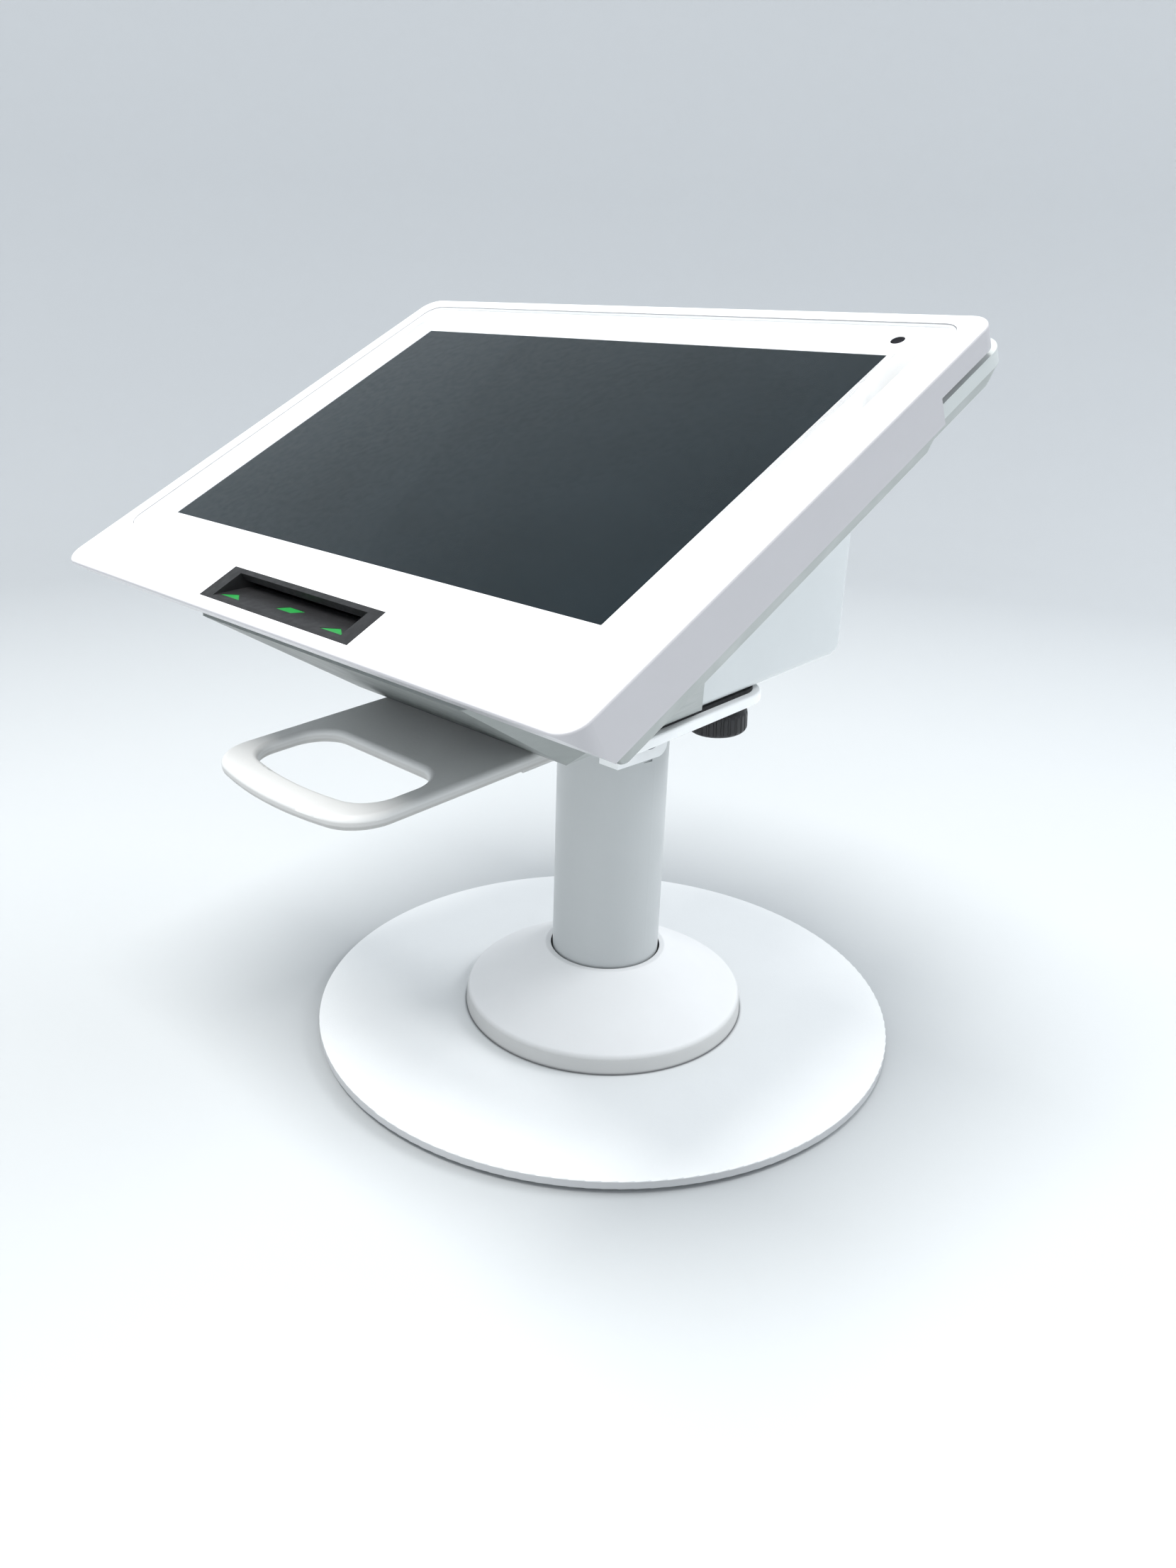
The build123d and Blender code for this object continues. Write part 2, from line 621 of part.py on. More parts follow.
def handle():
    """Flat grip that sticks out towards the customer, with a hand hole."""
    rear = TRAY_FRONT - 0.3
    chord = HANDLE_HALF_WIDTH - 5
    bow_radius = (chord**2 + HANDLE_BOW**2) / (2 * HANDLE_BOW)
    bow_centre = HANDLE_FRONT + bow_radius
    outline = bowed_outline(
        HANDLE_HALF_WIDTH, rear, HANDLE_FRONT, bow_radius, bow_centre, HANDLE_CORNER
    )
    grip = bowed_outline(
        GRIP_HALF_WIDTH, GRIP_REAR, HANDLE_FRONT + HANDLE_BAR, bow_radius - HANDLE_BAR,
        bow_centre, GRIP_CORNER,
    )
    back_corners = grip.vertices().group_by(Axis.Y)[-1]
    grip = fillet(back_corners, GRIP_CORNER)
    plate = extrude(outline - grip, -HANDLE_THICKNESS)
    level = plate.edges().group_by(Axis.Z)
    round_edges = (level[0] + level[-1]).filter_by(lambda e: e.center().Y < rear - 1)
    plate = Pos(0, 0, HANDLE_TOP) * fillet(round_edges, 0.4 * HANDLE_THICKNESS)
    low = HANDLE_TOP - HANDLE_THICKNESS
    flange_low = TRAY_LOW - HANDLE_FLANGE
    tongue = HANDLE_TONGUE
    plate += block(-tongue, tongue, FOOT_FRONT, rear, flange_low, low + 0.5)
    plate += block(-tongue, tongue, FOOT_FRONT, HANDLE_SCREW_Y + 6, flange_low, TRAY_LOW)
    for x in sides(HANDLE_SCREW_X):
        plate -= disc(TRAY_SCREW_RADIUS + RUNNING_FIT, flange_low - 1, 0, x, HANDLE_SCREW_Y)
    return TERMINAL * plate


def tray_screws():
    """Flat-head screws down through the tray: four into the yoke, two into the handle."""
    screw = Rot(180, 0, 0) * countersunk_screw(TRAY_SCREW_RADIUS, TRAY_THICKNESS + YOKE_SHEET)
    places = tray_screw_places()
    return TERMINAL * Compound(children=[Pos(x, y, TRAY_TOP) * screw for x, y in places])


def thumb_knob(x):
    """Ribbed knob under the tray, with a collar that runs on the tray's underside."""
    low = KNOB_TOP - KNOB_HEIGHT
    knob = disc(KNOB_RADIUS, low, KNOB_TOP)
    knob = fillet(knob.edges().filter_by(GeomType.CIRCLE), KNOB_EDGE)
    groove = disc(KNOB_GROOVE_RADIUS, low - 1, KNOB_TOP + 1)
    for gx, gy in around(KNOB_RIBS, KNOB_RADIUS + KNOB_GROOVE_RADIUS / 3):
        knob -= Pos(gx, gy, 0) * groove
    knob += disc(2 * STUD_RADIUS, KNOB_TOP - 1, TRAY_LOW - RUNNING_FIT)
    knob -= disc(STUD_RADIUS, low + KNOB_FLOOR, TRAY_LOW + 1)
    return TERMINAL * Pos(x, KNOB_Y, 0) * knob


def thumb_stud(x):
    stud = disc(STUD_RADIUS, KNOB_TOP - KNOB_HEIGHT + KNOB_FLOOR, STUD_TOP)
    stud = chamfer(stud.edges().group_by(Axis.Z)[-1], STUD_RADIUS / 4)
    return TERMINAL * Pos(x, KNOB_Y, 0) * stud


def foot_inserts():
    """Brass threaded inserts moulded into the foot, one for each thumbscrew."""
    insert = ring(INSERT_RADIUS, STUD_RADIUS + RUNNING_FIT, SEAM_GAP, INSERT_TOP)
    return TERMINAL * Compound(children=[Pos(x, KNOB_Y, 0) * insert for x in sides(KNOB_X)])


# ---- Display slab, in the front face's frame -------------------------------------------------
def slab_section(points):
    """A full-width prism of the slab, with its section given as (u, n) points."""
    section = make_face(Polyline(*[(0, u, n) for u, n in points], close=True))
    return extrude(section, SLAB_WIDTH, both=True)


def boss_places():
    return [(x, u) for x in sides(SIDE_BOSS_X) for u in SIDE_BOSS_U]


def front_bezel():
    """The white front moulding: hollow, with an undercut rim, glass recess and cutouts."""
    half = SLAB_WIDTH / 2
    outer = rounded_block(-half, half, 0, SLAB_HEIGHT, -RIM_DEPTH, 0, SLAB_CORNER)
    outer = fillet(outer.edges().group_by(Axis.Z)[-1], FACE_EDGE)
    outer &= slab_section([
        (0, 1), (SLAB_HEIGHT, 1), (SLAB_HEIGHT, -GROOVE_FRONT), (GROOVE_FLOOR, -GROOVE_FRONT),
        (GROOVE_FLOOR, -RIM_DEPTH), (RIM_UNDERCUT, -RIM_DEPTH), (0, -0.8),
    ])
    inside = half - SKIN
    cavity = block(-inside, inside, SKIN, GROOVE_FLOOR - SKIN, -RIM_DEPTH - 1, -FACE_PLATE)
    cavity &= slab_section([
        (SKIN, 0), (GROOVE_FLOOR, 0), (GROOVE_FLOOR, -RIM_DEPTH - 1),
        (RIM_UNDERCUT + SKIN + 0.6, -RIM_DEPTH - 1), (SKIN + 0.6, -FACE_PLATE),
    ])
    groove_wall = -GROOVE_FRONT + 1.2
    upper = block(
        -inside, inside, GROOVE_FLOOR - 3 * SKIN, SLAB_HEIGHT - SKIN, groove_wall, -FACE_PLATE
    )
    bezel = outer - cavity - upper
    bezel -= rounded_block(
        -GLASS_HALF_WIDTH, GLASS_HALF_WIDTH, GLASS_LOW, GLASS_HIGH, PANEL_TOP, 1, GLASS_CORNER
    )
    room = PANEL_MARGIN + FIT_GAP
    panel_x = SCREEN_WIDTH / 2 + room
    bezel -= block(
        -panel_x, panel_x, SCREEN_LOW - room, SCREEN_LOW + SCREEN_HEIGHT + room,
        -FACE_PLATE - 1, 1,
    )
    bezel -= disc(CAMERA_HOLE_RADIUS, -FACE_PLATE - 1, 1, CAMERA_X, CAMERA_U)
    frame_half = SLOT_FRAME_WIDTH / 2 + RUNNING_FIT
    bezel -= block(
        -frame_half, frame_half, SLOT_FRAME_LOW - RUNNING_FIT, SLOT_FRAME_HIGH + RUNNING_FIT,
        -FACE_PLATE - SEAM_GAP, 1,
    )
    for x, u in boss_places():
        bezel += disc(BEZEL_BOSS_RADIUS, -RIM_DEPTH, -FACE_PLATE, x, u)
        bezel -= disc(BEZEL_PILOT_RADIUS, -RIM_DEPTH, -FACE_PLATE - 1, x, u)
    head_half = MAG_HEAD_HALF + FIT_GAP
    bezel -= block(
        MAG_HEAD_X - head_half, MAG_HEAD_X + head_half, MAG_HEAD_U - head_half,
        MAG_HEAD_U + head_half, -GROOVE_FRONT - 1, -FACE_PLATE - 1.5,
    )
    return TERMINAL * FACE * bezel


def glass_sheet(low, high):
    """A sheet with the cover glass's outline, a hair smaller than its recess."""
    edge = 2 * RUNNING_FIT
    return rounded_block(
        -GLASS_HALF_WIDTH + edge, GLASS_HALF_WIDTH - edge, GLASS_LOW + edge, GLASS_HIGH - edge,
        low, high, GLASS_CORNER - edge,
    )


def cover_glass():
    glass = glass_sheet(-GLASS_THICKNESS, 0)
    glass = chamfer(glass.edges().group_by(Axis.Z)[-1], GLASS_THICKNESS / 4)
    return TERMINAL * FACE * glass


def glass_mask():
    """The white printed border behind the glass, open over the screen and camera."""
    mask = glass_sheet(PANEL_TOP, -GLASS_THICKNESS)
    half = SCREEN_WIDTH / 2
    mask -= block(-half, half, SCREEN_LOW, SCREEN_LOW + SCREEN_HEIGHT, PANEL_TOP - 1, 0)
    mask -= disc(CAMERA_RADIUS, PANEL_TOP - 1, 0, CAMERA_X, CAMERA_U)
    return TERMINAL * FACE * mask


def lcd_panel():
    x = SCREEN_WIDTH / 2 + PANEL_MARGIN
    high = SCREEN_LOW + SCREEN_HEIGHT + PANEL_MARGIN
    low = PANEL_TOP - PANEL_THICKNESS
    return TERMINAL * FACE * block(-x, x, SCREEN_LOW - PANEL_MARGIN, high, low, PANEL_TOP)


def display_chassis():
    """Sheet-metal stiffener that holds the panel in the bezel."""
    top = PANEL_TOP - PANEL_THICKNESS - 2 * RUNNING_FIT
    half = CHASSIS_HALF_WIDTH
    high = GROOVE_FLOOR - SKIN - 1
    sheet = rounded_block(-half, half, CHASSIS_LOW, high, top - CHASSIS_SHEET, top, 4)
    window = extrude(RectangleRounded(*CHASSIS_WINDOW, 4), 4 * CHASSIS_SHEET, both=True)
    for column in range(4):
        x = (column - 1.5) * CHASSIS_WINDOW_PITCH
        sheet -= Pos(x, CHASSIS_WINDOW_U, top) * window
    return TERMINAL * FACE * sheet


def camera_module():
    body = Pos(0, 0, -CAMERA_BODY / 2) * extrude(
        RectangleRounded(CAMERA_BODY, CAMERA_BODY, 0.6), CAMERA_BODY / 4
    )
    barrel = disc(CAMERA_BARREL_RADIUS, -CAMERA_BODY / 4, -RUNNING_FIT)
    well = disc(CAMERA_BARREL_RADIUS - 0.7, -0.9, 0)
    return TERMINAL * FACE * Pos(CAMERA_X, CAMERA_U, PANEL_TOP) * (body + barrel - well)


# ---- Card slot -------------------------------------------------------------------------------
RAMP_ANGLE = atan2(CARD_RAMP_DROP, SLOT_FRAME_HIGH + 0.1 - CARD_MOUTH_LOW)


def light_places():
    return [-LIGHT_PITCH, 0.0, LIGHT_PITCH]


def ramp_frame(x, along):
    """Frame on the ramp: x across, y up the ramp, z out of it."""
    u = CARD_MOUTH_LOW + along * cos(RAMP_ANGLE)
    n = -along * sin(RAMP_ANGLE)
    return Pos(x, u, n) * Rot(-degrees(RAMP_ANGLE), 0, 0)


def light_outline(x):
    """Outer marks are flat triangles; the middle one is a slanted bar."""
    half = LIGHT_WIDTH / 2
    low, high = -LIGHT_HEIGHT / 2, LIGHT_HEIGHT / 2
    if x == 0:
        inner = half / 2
        return Polyline((-half, low), (inner, low), (half, high), (-inner, high), close=True)
    return Polyline((-half, low), (half, low), (0, high), close=True)


def light_frame(x):
    """The middle mark sits further up the ramp than the outer two."""
    return ramp_frame(x, LIGHT_UP_RAMP if x else LIGHT_UP_RAMP + MIDDLE_LIGHT_SHIFT)


def card_slot_frame():
    """Dark surround whose ramp leads the card down into the reader."""
    half = SLOT_FRAME_WIDTH / 2
    section = make_face(Polyline(
        (0, SLOT_FRAME_LOW, 0), (0, SLOT_FRAME_HIGH, 0), (0, SLOT_FRAME_HIGH, -SLOT_FRAME_DEPTH),
        (0, SLOT_FRAME_LOW + 5.4, -SLOT_FRAME_DEPTH), (0, SLOT_FRAME_LOW, -FACE_PLATE), close=True,
    ))
    frame = extrude(section, half, both=True)
    back = SLOT_FRAME_HIGH + 0.1
    mouth = make_face(Polyline(
        (0, CARD_MOUTH_LOW - 0.45, 0.2), (0, CARD_MOUTH_HIGH, 0.2), (0, CARD_MOUTH_HIGH, -2.2),
        (0, back, -2.9), (0, back, -CARD_RAMP_DROP), close=True,
    ))
    frame -= extrude(mouth, CARD_MOUTH_WIDTH / 2, both=True)
    for x in light_places():
        hole = extrude(make_face(light_outline(x)), 1.2, both=True)
        frame -= light_frame(x) * hole
    return TERMINAL * FACE * frame


def card_lights():
    """Lit marks that show where the card goes, set just below the ramp's surface."""
    marks = []
    for x in light_places():
        mark = extrude(make_face(light_outline(x)), -0.9)
        marks.append(light_frame(x) * Pos(0, 0, -LIGHT_SUNK) * mark)
    return TERMINAL * FACE * Compound(children=marks)


def reader_frame():
    """Frame of the card reader: y runs along the card's path into the terminal."""
    u = SLOT_FRAME_HIGH + 0.1
    n = -CARD_RAMP_DROP + CARD_GAP / 2 + 0.2
    return Pos(0, u, n) * Rot(-degrees(RAMP_ANGLE), 0, 0)


def card_reader():
    """Flat box with a slit for the card and a window over the chip contacts."""
    end = READER_START + READER_LENGTH
    body = block(
        -READER_HALF_WIDTH, READER_HALF_WIDTH, READER_START, end,
        -READER_HALF_HEIGHT, READER_HALF_HEIGHT,
    )
    slit = CARD_MOUTH_WIDTH / 2
    body -= block(-slit, slit, READER_START - 1, end - 3, -CARD_GAP / 2, CARD_GAP / 2)
    window = READER_START + 0.4 * READER_LENGTH
    body -= block(-8, 8, window, window + 14, CARD_GAP / 2, READER_HALF_HEIGHT + 1)
    return TERMINAL * FACE * reader_frame() * body


def card_contacts():
    """Eight spring fingers that touch the chip."""
    fingers = []
    for row in (0, 1):
        for column in range(CONTACT_COUNT):
            x = (column - (CONTACT_COUNT - 1) / 2) * CONTACT_PITCH
            y = READER_START + 0.475 * READER_LENGTH + row * CONTACT_ROW_PITCH
            place = Pos(x, y, CARD_GAP / 2 + 6 * RUNNING_FIT)
            fingers.append(place * Box(*CONTACT_SIZE))
    return TERMINAL * FACE * reader_frame() * Compound(children=fingers)


# ---- Swipe reader ----------------------------------------------------------------------------
def magstripe_head():
    """Steel-cased head that looks into the swipe groove."""
    body = block(
        MAG_HEAD_X - MAG_HEAD_HALF, MAG_HEAD_X + MAG_HEAD_HALF, MAG_HEAD_U - MAG_HEAD_HALF,
        MAG_HEAD_U + MAG_HEAD_HALF, -GROOVE_FRONT - 0.5, -FACE_PLATE - 1.6,
    )
    edges = body.edges().filter_by(Axis.Y).group_by(Axis.Z)[0]
    return TERMINAL * FACE * fillet(edges, 1.4)


# ---- Rear shell: slab back, lip and chin -----------------------------------------------------
def chin_block(inset):
    """The solid under the slab that narrows down to the foot's front."""
    wide = CHIN_TOP_HIGH_X
    low = inset
    chin = block(-wide - 9, wide + 9, FACE_Y - 9, CHIN_REAR + 60, low, 90)
    top = -RIM_DEPTH - 0.5 if inset else -BACK_DEPTH + 1
    middle = (0, -50, 20)
    chin = trim(chin, face_point(-9, 0, top), face_point(9, 0, top), face_point(0, 90, top), middle)
    foot = (FOOT_HALF_WIDTH, FOOT_FRONT, 0)
    lip_low = face_point(CHIN_TOP_LOW_X, CHIN_TOP_LOW_U, -BACK_DEPTH)
    flare = face_point(CHIN_TOP_HIGH_X, CHIN_TOP_HIGH_U, -BACK_DEPTH)
    foot_rear = (FOOT_HALF_WIDTH, CHIN_REAR, 0)
    chin = trim(chin, foot, (-FOOT_HALF_WIDTH, FOOT_FRONT, 0), lip_low, middle, inset)
    for side in (1, -1):
        mirrored = [(side * x, y, z) for x, y, z in (foot, lip_low, flare, foot_rear)]
        chin = trim(chin, mirrored[0], mirrored[1], mirrored[2], middle, inset)
        chin = trim(chin, mirrored[0], mirrored[3], mirrored[2], middle, inset)
    back = (-FOOT_HALF_WIDTH, CHIN_REAR, 0)
    return trim(chin, foot_rear, back, flare, (0, -60, 10), inset)


def passage_top():
    """The upper edge of the opening between the chin and the printer housing."""
    high = face_point(0, CHIN_TOP_HIGH_U + 6, -BACK_DEPTH + 1)[1:]
    low = face_point(0, CHIN_TOP_HIGH_U - 8, -BACK_DEPTH + 1)[1:]
    return [high, low]


def rear_shell():
    """Shallow tray behind the slab, with the swipe lip above and the chin below."""
    half = SLAB_WIDTH / 2
    height = GROOVE_FLOOR - SHELL_LOW
    tray = Pos(0, SHELL_LOW + height / 2, -RIM_DEPTH) * extrude(
        RectangleRounded(2 * half, height, SHELL_CORNER), RIM_DEPTH - BACK_DEPTH,
        taper=BACK_BEVEL_DEG,
    )
    lip_low = GROOVE_FLOOR - 14
    lip_mid = (LIP_TOP + lip_low) / 2
    lip_outline = RectangleRounded(2 * LIP_HALF_WIDTH, LIP_TOP - lip_low, LIP_CORNER)
    lip = Pos(0, lip_mid, -RIM_DEPTH) * extrude(
        lip_outline, RIM_DEPTH - BACK_DEPTH, taper=BACK_BEVEL_DEG
    )
    groove_back = RIM_DEPTH - GROOVE_FRONT - GROOVE_WIDTH
    riser = Pos(0, lip_mid, -RIM_DEPTH) * extrude(lip_outline, groove_back)
    riser &= block(-half, half, GROOVE_FLOOR + RUNNING_FIT, LIP_TOP + 1, -2 * BACK_DEPTH, 0)
    to_face = FACE.inverse()
    shell = tray + lip + riser + to_face * chin_block(0)
    floor = -BACK_DEPTH + SHELL_WALL
    room = half - 2 * SHELL_WALL
    shell -= rounded_block(-room, room, SHELL_LOW + 3, GROOVE_FLOOR - 4, floor, 0, 3)
    shell -= to_face * chin_block(SHELL_WALL)
    window = FOOT_HALF_WIDTH - SHELL_WALL
    shell -= block(-window, window, CHIN_TOP_HIGH_U - 4, WINDOW_TOP_U, -BACK_DEPTH - 1, 0)
    shell -= to_face * cross_prism(
        [(CHIN_REAR - 9, SHELL_WALL), (CHIN_REAR + 9, SHELL_WALL), *passage_top()], window
    )
    for x, u in boss_places():
        shell += disc(SHELL_BOSS_RADIUS, -BACK_DEPTH + 0.5, -RIM_DEPTH, x, u)
        shell -= disc(SHELL_SCREW_RADIUS + 2 * RUNNING_FIT, -BACK_DEPTH - 1, 0, x, u)
        well = SHELL_SCREW_HEAD + SEAM_GAP
        shell -= disc(well, -BACK_DEPTH - 1, -BACK_DEPTH + SHELL_SCREW_SUNK + 1.6, x, u)
    return TERMINAL * FACE * shell


# ---- Printer housing and paper door ----------------------------------------------------------
LEAN = tan(TILT_RAD)
TOP_FRONT = face_point(0, HOUSING_TOP_U, -BACK_DEPTH)[1:]
TOP_REAR = (HOUSING_REAR + HOUSING_REAR_TOP_Z * LEAN, HOUSING_REAR_TOP_Z)
TOP_SLOPE = atan2(TOP_FRONT[1] - TOP_REAR[1], TOP_REAR[0] - TOP_FRONT[0])


def housing_block(inset):
    """The box behind the slab, or the room inside it when inset by its wall."""
    clear = SEAM_GAP
    bottom = [
        (CHIN_REAR + (-20 if inset else clear), inset),
        (HOUSING_REAR + inset * (LEAN - 1), inset),
        (TOP_REAR[0] - inset, TOP_REAR[1] - inset),
    ]
    if inset:
        front = [
            face_point(0, HOUSING_TOP_U - inset / 3, -BACK_DEPTH - inset)[1:],
            face_point(0, WINDOW_TOP_U, -BACK_DEPTH - inset)[1:],
            face_point(0, WINDOW_TOP_U, 0)[1:],
            face_point(0, 20, 0)[1:],
        ]
    else:
        front = [
            face_point(0, HOUSING_TOP_U, -BACK_DEPTH - clear)[1:],
            face_point(0, CHIN_TOP_HIGH_U + 2 * clear, -BACK_DEPTH - clear)[1:],
        ]
    box = cross_prism(bottom + front, FOOT_HALF_WIDTH - inset)
    radius = max(HOUSING_CORNER - inset, 1.0)
    across = box.edges().filter_by(Axis.X)
    rear_low = across.filter_by(
        lambda e: e.center().Z < inset + 0.1 and e.center().Y > HOUSING_REAR / 2
    )
    rear_high = across.filter_by(lambda e: e.center().Y > HOUSING_REAR + 2)
    box = fillet(rear_low + rear_high, radius)
    uprights = box.edges().filter_by(
        lambda e: e.center().Y > HOUSING_REAR - 1
        and e.length > HOUSING_REAR_TOP_Z / 2
        and abs(e.center().X) > FOOT_HALF_WIDTH / 2
    )
    return fillet(uprights, max(HOUSING_UPRIGHT_CORNER - inset, 0.6))


def door_strip(gap):
    """The lid's own strip of the housing's skin, or its opening when grown by a gap."""
    half = DOOR_HALF_WIDTH + gap
    low = HINGE_Z - HINGE_KNUCKLE_RADIUS - gap if gap else HINGE_Z
    beyond = HOUSING_REAR + 20
    above = 2 * HOUSING_REAR_TOP_Z
    wrap = block(-half, half, HOUSING_REAR - 3, beyond, low, HOUSING_REAR_TOP_Z)
    top = block(-half, half, DOOR_FRONT - gap, beyond, HOUSING_REAR_TOP_Z - 4, above)
    return wrap + top


def hinge_place():
    """The lid turns about a pin inside the rear wall, at its lower edge."""
    return HOUSING_REAR + HINGE_Z * LEAN - HINGE_KNUCKLE_RADIUS, HINGE_Z


HINGE_Y = hinge_place()[0]


def printer_housing():
    """Box behind the slab that holds the printer, open under its lid."""
    shell = housing_block(0) - housing_block(SHELL_WALL)
    shell -= door_strip(DOOR_GAP)
    slot = PLATEN_HALF_LENGTH + SEAM_GAP
    slot_front = EXIT_Y - SEAM_GAP - TEAR_SHEET - 0.02
    shell -= block(
        -slot, slot, slot_front, DOOR_FRONT, HOUSING_REAR_TOP_Z - 8, 2 * HOUSING_REAR_TOP_Z
    )
    door_edge = DOOR_HALF_WIDTH + DOOR_GAP
    knuckle_room = HINGE_KNUCKLE_RADIUS + DOOR_GAP
    shell -= rod(knuckle_room, -door_edge, door_edge, HINGE_Y, HINGE_Z)
    half_lug = HINGE_LUG / 2
    for x in sides(door_edge + HINGE_LUG_GAP + half_lug):
        shell += rod(HINGE_KNUCKLE_RADIUS, x - half_lug, x + half_lug, HINGE_Y, HINGE_Z)
    pin_half = DOOR_HALF_WIDTH + HINGE_LUG
    shell -= rod(HINGE_PIN_RADIUS + 0.02, -pin_half, pin_half, HINGE_Y, HINGE_Z)
    for x in sides(KNOB_X):
        shell += disc(INSERT_RADIUS + 2, 0, INSERT_TOP + 0.5, x, KNOB_Y)
        shell -= disc(INSERT_RADIUS, -1, INSERT_TOP, x, KNOB_Y)
    wall = -FOOT_HALF_WIDTH
    for y, z in (POWER_PLACE, RELEASE_PLACE):
        shell -= rod(BUTTON_RADIUS + 2 * RUNNING_FIT, wall - 1, wall + 2 * SHELL_WALL, y, z)
    for x, width, height in CONNECTORS:
        shell -= Pos(x, HOUSING_REAR, CONNECTOR_Z) * Box(
            width + 2 * SEAM_GAP, 2 * CONNECTOR_DEPTH, height + 2 * SEAM_GAP
        )
    for x in sides(CRADLE_X):
        shell += block(
            x - CRADLE_SHEET / 2, x + CRADLE_SHEET / 2, ROLL_Y - CRADLE_LENGTH / 2,
            ROLL_Y + CRADLE_LENGTH / 2, SHELL_WALL - 0.1, ROLL_Z - ROLL_RADIUS,
        )
    return TERMINAL * shell


def side_button(place):
    """A round push button through the left wall, with a flange inside."""
    y, z = place
    outer = -FOOT_HALF_WIDTH
    flange_low = outer + SHELL_WALL + 2 * RUNNING_FIT
    cap = rod(BUTTON_RADIUS, outer - BUTTON_PROUD, flange_low + BUTTON_FLANGE, y, z)
    cap = fillet(cap.edges().sort_by(Axis.X)[0], BUTTON_RADIUS / 6)
    flange = rod(4 / 3 * BUTTON_RADIUS, flange_low, flange_low + BUTTON_FLANGE, y, z)
    return TERMINAL * (cap + flange)


def paper_door():
    """Curved lid with hinge knuckle and the two lugs that carry the platen."""
    lid = (housing_block(0) - housing_block(DOOR_WALL)) & door_strip(0)
    pieces = lid.solids().sort_by(SortBy.VOLUME)
    lid = pieces[-1]
    half = DOOR_HALF_WIDTH
    lid += rod(HINGE_KNUCKLE_RADIUS, -half, half, HINGE_Y, HINGE_Z)
    lid -= rod(HINGE_PIN_RADIUS + RUNNING_FIT, -half - 1, half + 1, HINGE_Y, HINGE_Z)
    half_lug = LUG_THICKNESS / 2
    reach = BUSH_RADIUS + 0.4
    for x in sides(LUG_X):
        lid += block(
            x - half_lug, x + half_lug, PLATEN_Y - reach, PLATEN_Y + 4 * BUSH_RADIUS,
            PLATEN_Z - reach, LUG_TOP,
        )
        lid -= rod(BUSH_RADIUS, x - LUG_THICKNESS, x + LUG_THICKNESS, PLATEN_Y, PLATEN_Z)
    return TERMINAL * lid


def door_hinge_pin():
    half = DOOR_HALF_WIDTH + HINGE_LUG - 0.5
    return TERMINAL * rod(HINGE_PIN_RADIUS, -half, half, HINGE_Y, HINGE_Z)


# ---- Printer mechanism -----------------------------------------------------------------------
def involute_gear(teeth, phase):
    """A spur gear in the xy plane with one tooth centred on the angle phase."""
    pitch = GEAR_MODULE * teeth / 2
    base = pitch * cos(radians(PRESSURE_ANGLE_DEG))
    tip = pitch + 0.9 * GEAR_MODULE
    root = pitch - 1.2 * GEAR_MODULE
    half_tooth = pi / (2 * teeth) - BACKLASH / (2 * pitch)
    roll_at_pitch = tan(radians(PRESSURE_ANGLE_DEG)) - radians(PRESSURE_ANGLE_DEG)
    flank = []
    steps = 4
    start = max(base, root)
    for i in range(steps + 1):
        radius = start + (tip - start) * i / steps
        pressure = sqrt(max((radius / base) ** 2 - 1, 0))
        involute = pressure - atan2(pressure, 1)
        flank.append((radius, half_tooth + roll_at_pitch - involute))
    points = []
    for tooth in range(teeth):
        centre = phase + 2 * pi * tooth / teeth
        points.append((root, centre - flank[0][1]))
        points += [(r, centre - a) for r, a in flank]
        points += [(r, centre + a) for r, a in reversed(flank)]
        points.append((root, centre + flank[0][1]))
    unique = [points[0]]
    for point in points[1:]:
        if hypot(point[0] - unique[-1][0], point[0] * (point[1] - unique[-1][1])) > 0.002:
            unique.append(point)
    outline = Polyline(*[(r * cos(a), r * sin(a)) for r, a in unique], close=True)
    return extrude(make_face(outline), GEAR_FACE)


def gear_on_x(teeth, phase, y, z):
    """Stands the gear on its shaft: its x and y axes become the terminal's y and z."""
    return Pos(GEAR_X, y, z) * Rot(0, 90, 0) * Rot(0, 0, 90) * involute_gear(teeth, phase)


def shaft_angle(a, b):
    return atan2(b[1] - a[1], b[0] - a[0])


# The lid lifts the platen away from the idler along the line between their centres.
LIFT = atan2(PLATEN_Z - HINGE_Z, PLATEN_Y - HINGE_Y) - pi / 2
PLATEN_IDLER = GEAR_MODULE * (PLATEN_TEETH + IDLER_TEETH) / 2
IDLER_PINION = GEAR_MODULE * (IDLER_TEETH + PINION_TEETH) / 2
PLATEN_PLACE = (PLATEN_Y, PLATEN_Z)
IDLER_PLACE = (PLATEN_Y - PLATEN_IDLER * cos(LIFT), PLATEN_Z - PLATEN_IDLER * sin(LIFT))
PINION_PLACE = (
    IDLER_PLACE[0] + IDLER_PINION * cos(PINION_ANGLE),
    IDLER_PLACE[1] + IDLER_PINION * sin(PINION_ANGLE),
)
PLATEN_PHASE = shaft_angle(PLATEN_PLACE, IDLER_PLACE)
IDLER_PHASE = PLATEN_PHASE + pi + pi / IDLER_TEETH
IDLER_OFFSET = (PINION_ANGLE - IDLER_PHASE) % (2 * pi / IDLER_TEETH)
PINION_PHASE = PINION_ANGLE + pi + IDLER_OFFSET * IDLER_TEETH / PINION_TEETH + pi / PINION_TEETH


def platen_roller():
    half = PLATEN_HALF_LENGTH
    sleeve = rod(PLATEN_RADIUS, -half, half, *PLATEN_PLACE)
    sleeve -= rod(SHAFT_RADIUS, -half, half, *PLATEN_PLACE)
    return TERMINAL * sleeve


def platen_shaft():
    left = -PLATEN_HALF_LENGTH - LUG_THICKNESS - 1
    return TERMINAL * rod(SHAFT_RADIUS, left, GEAR_X + GEAR_FACE + 1, *PLATEN_PLACE)


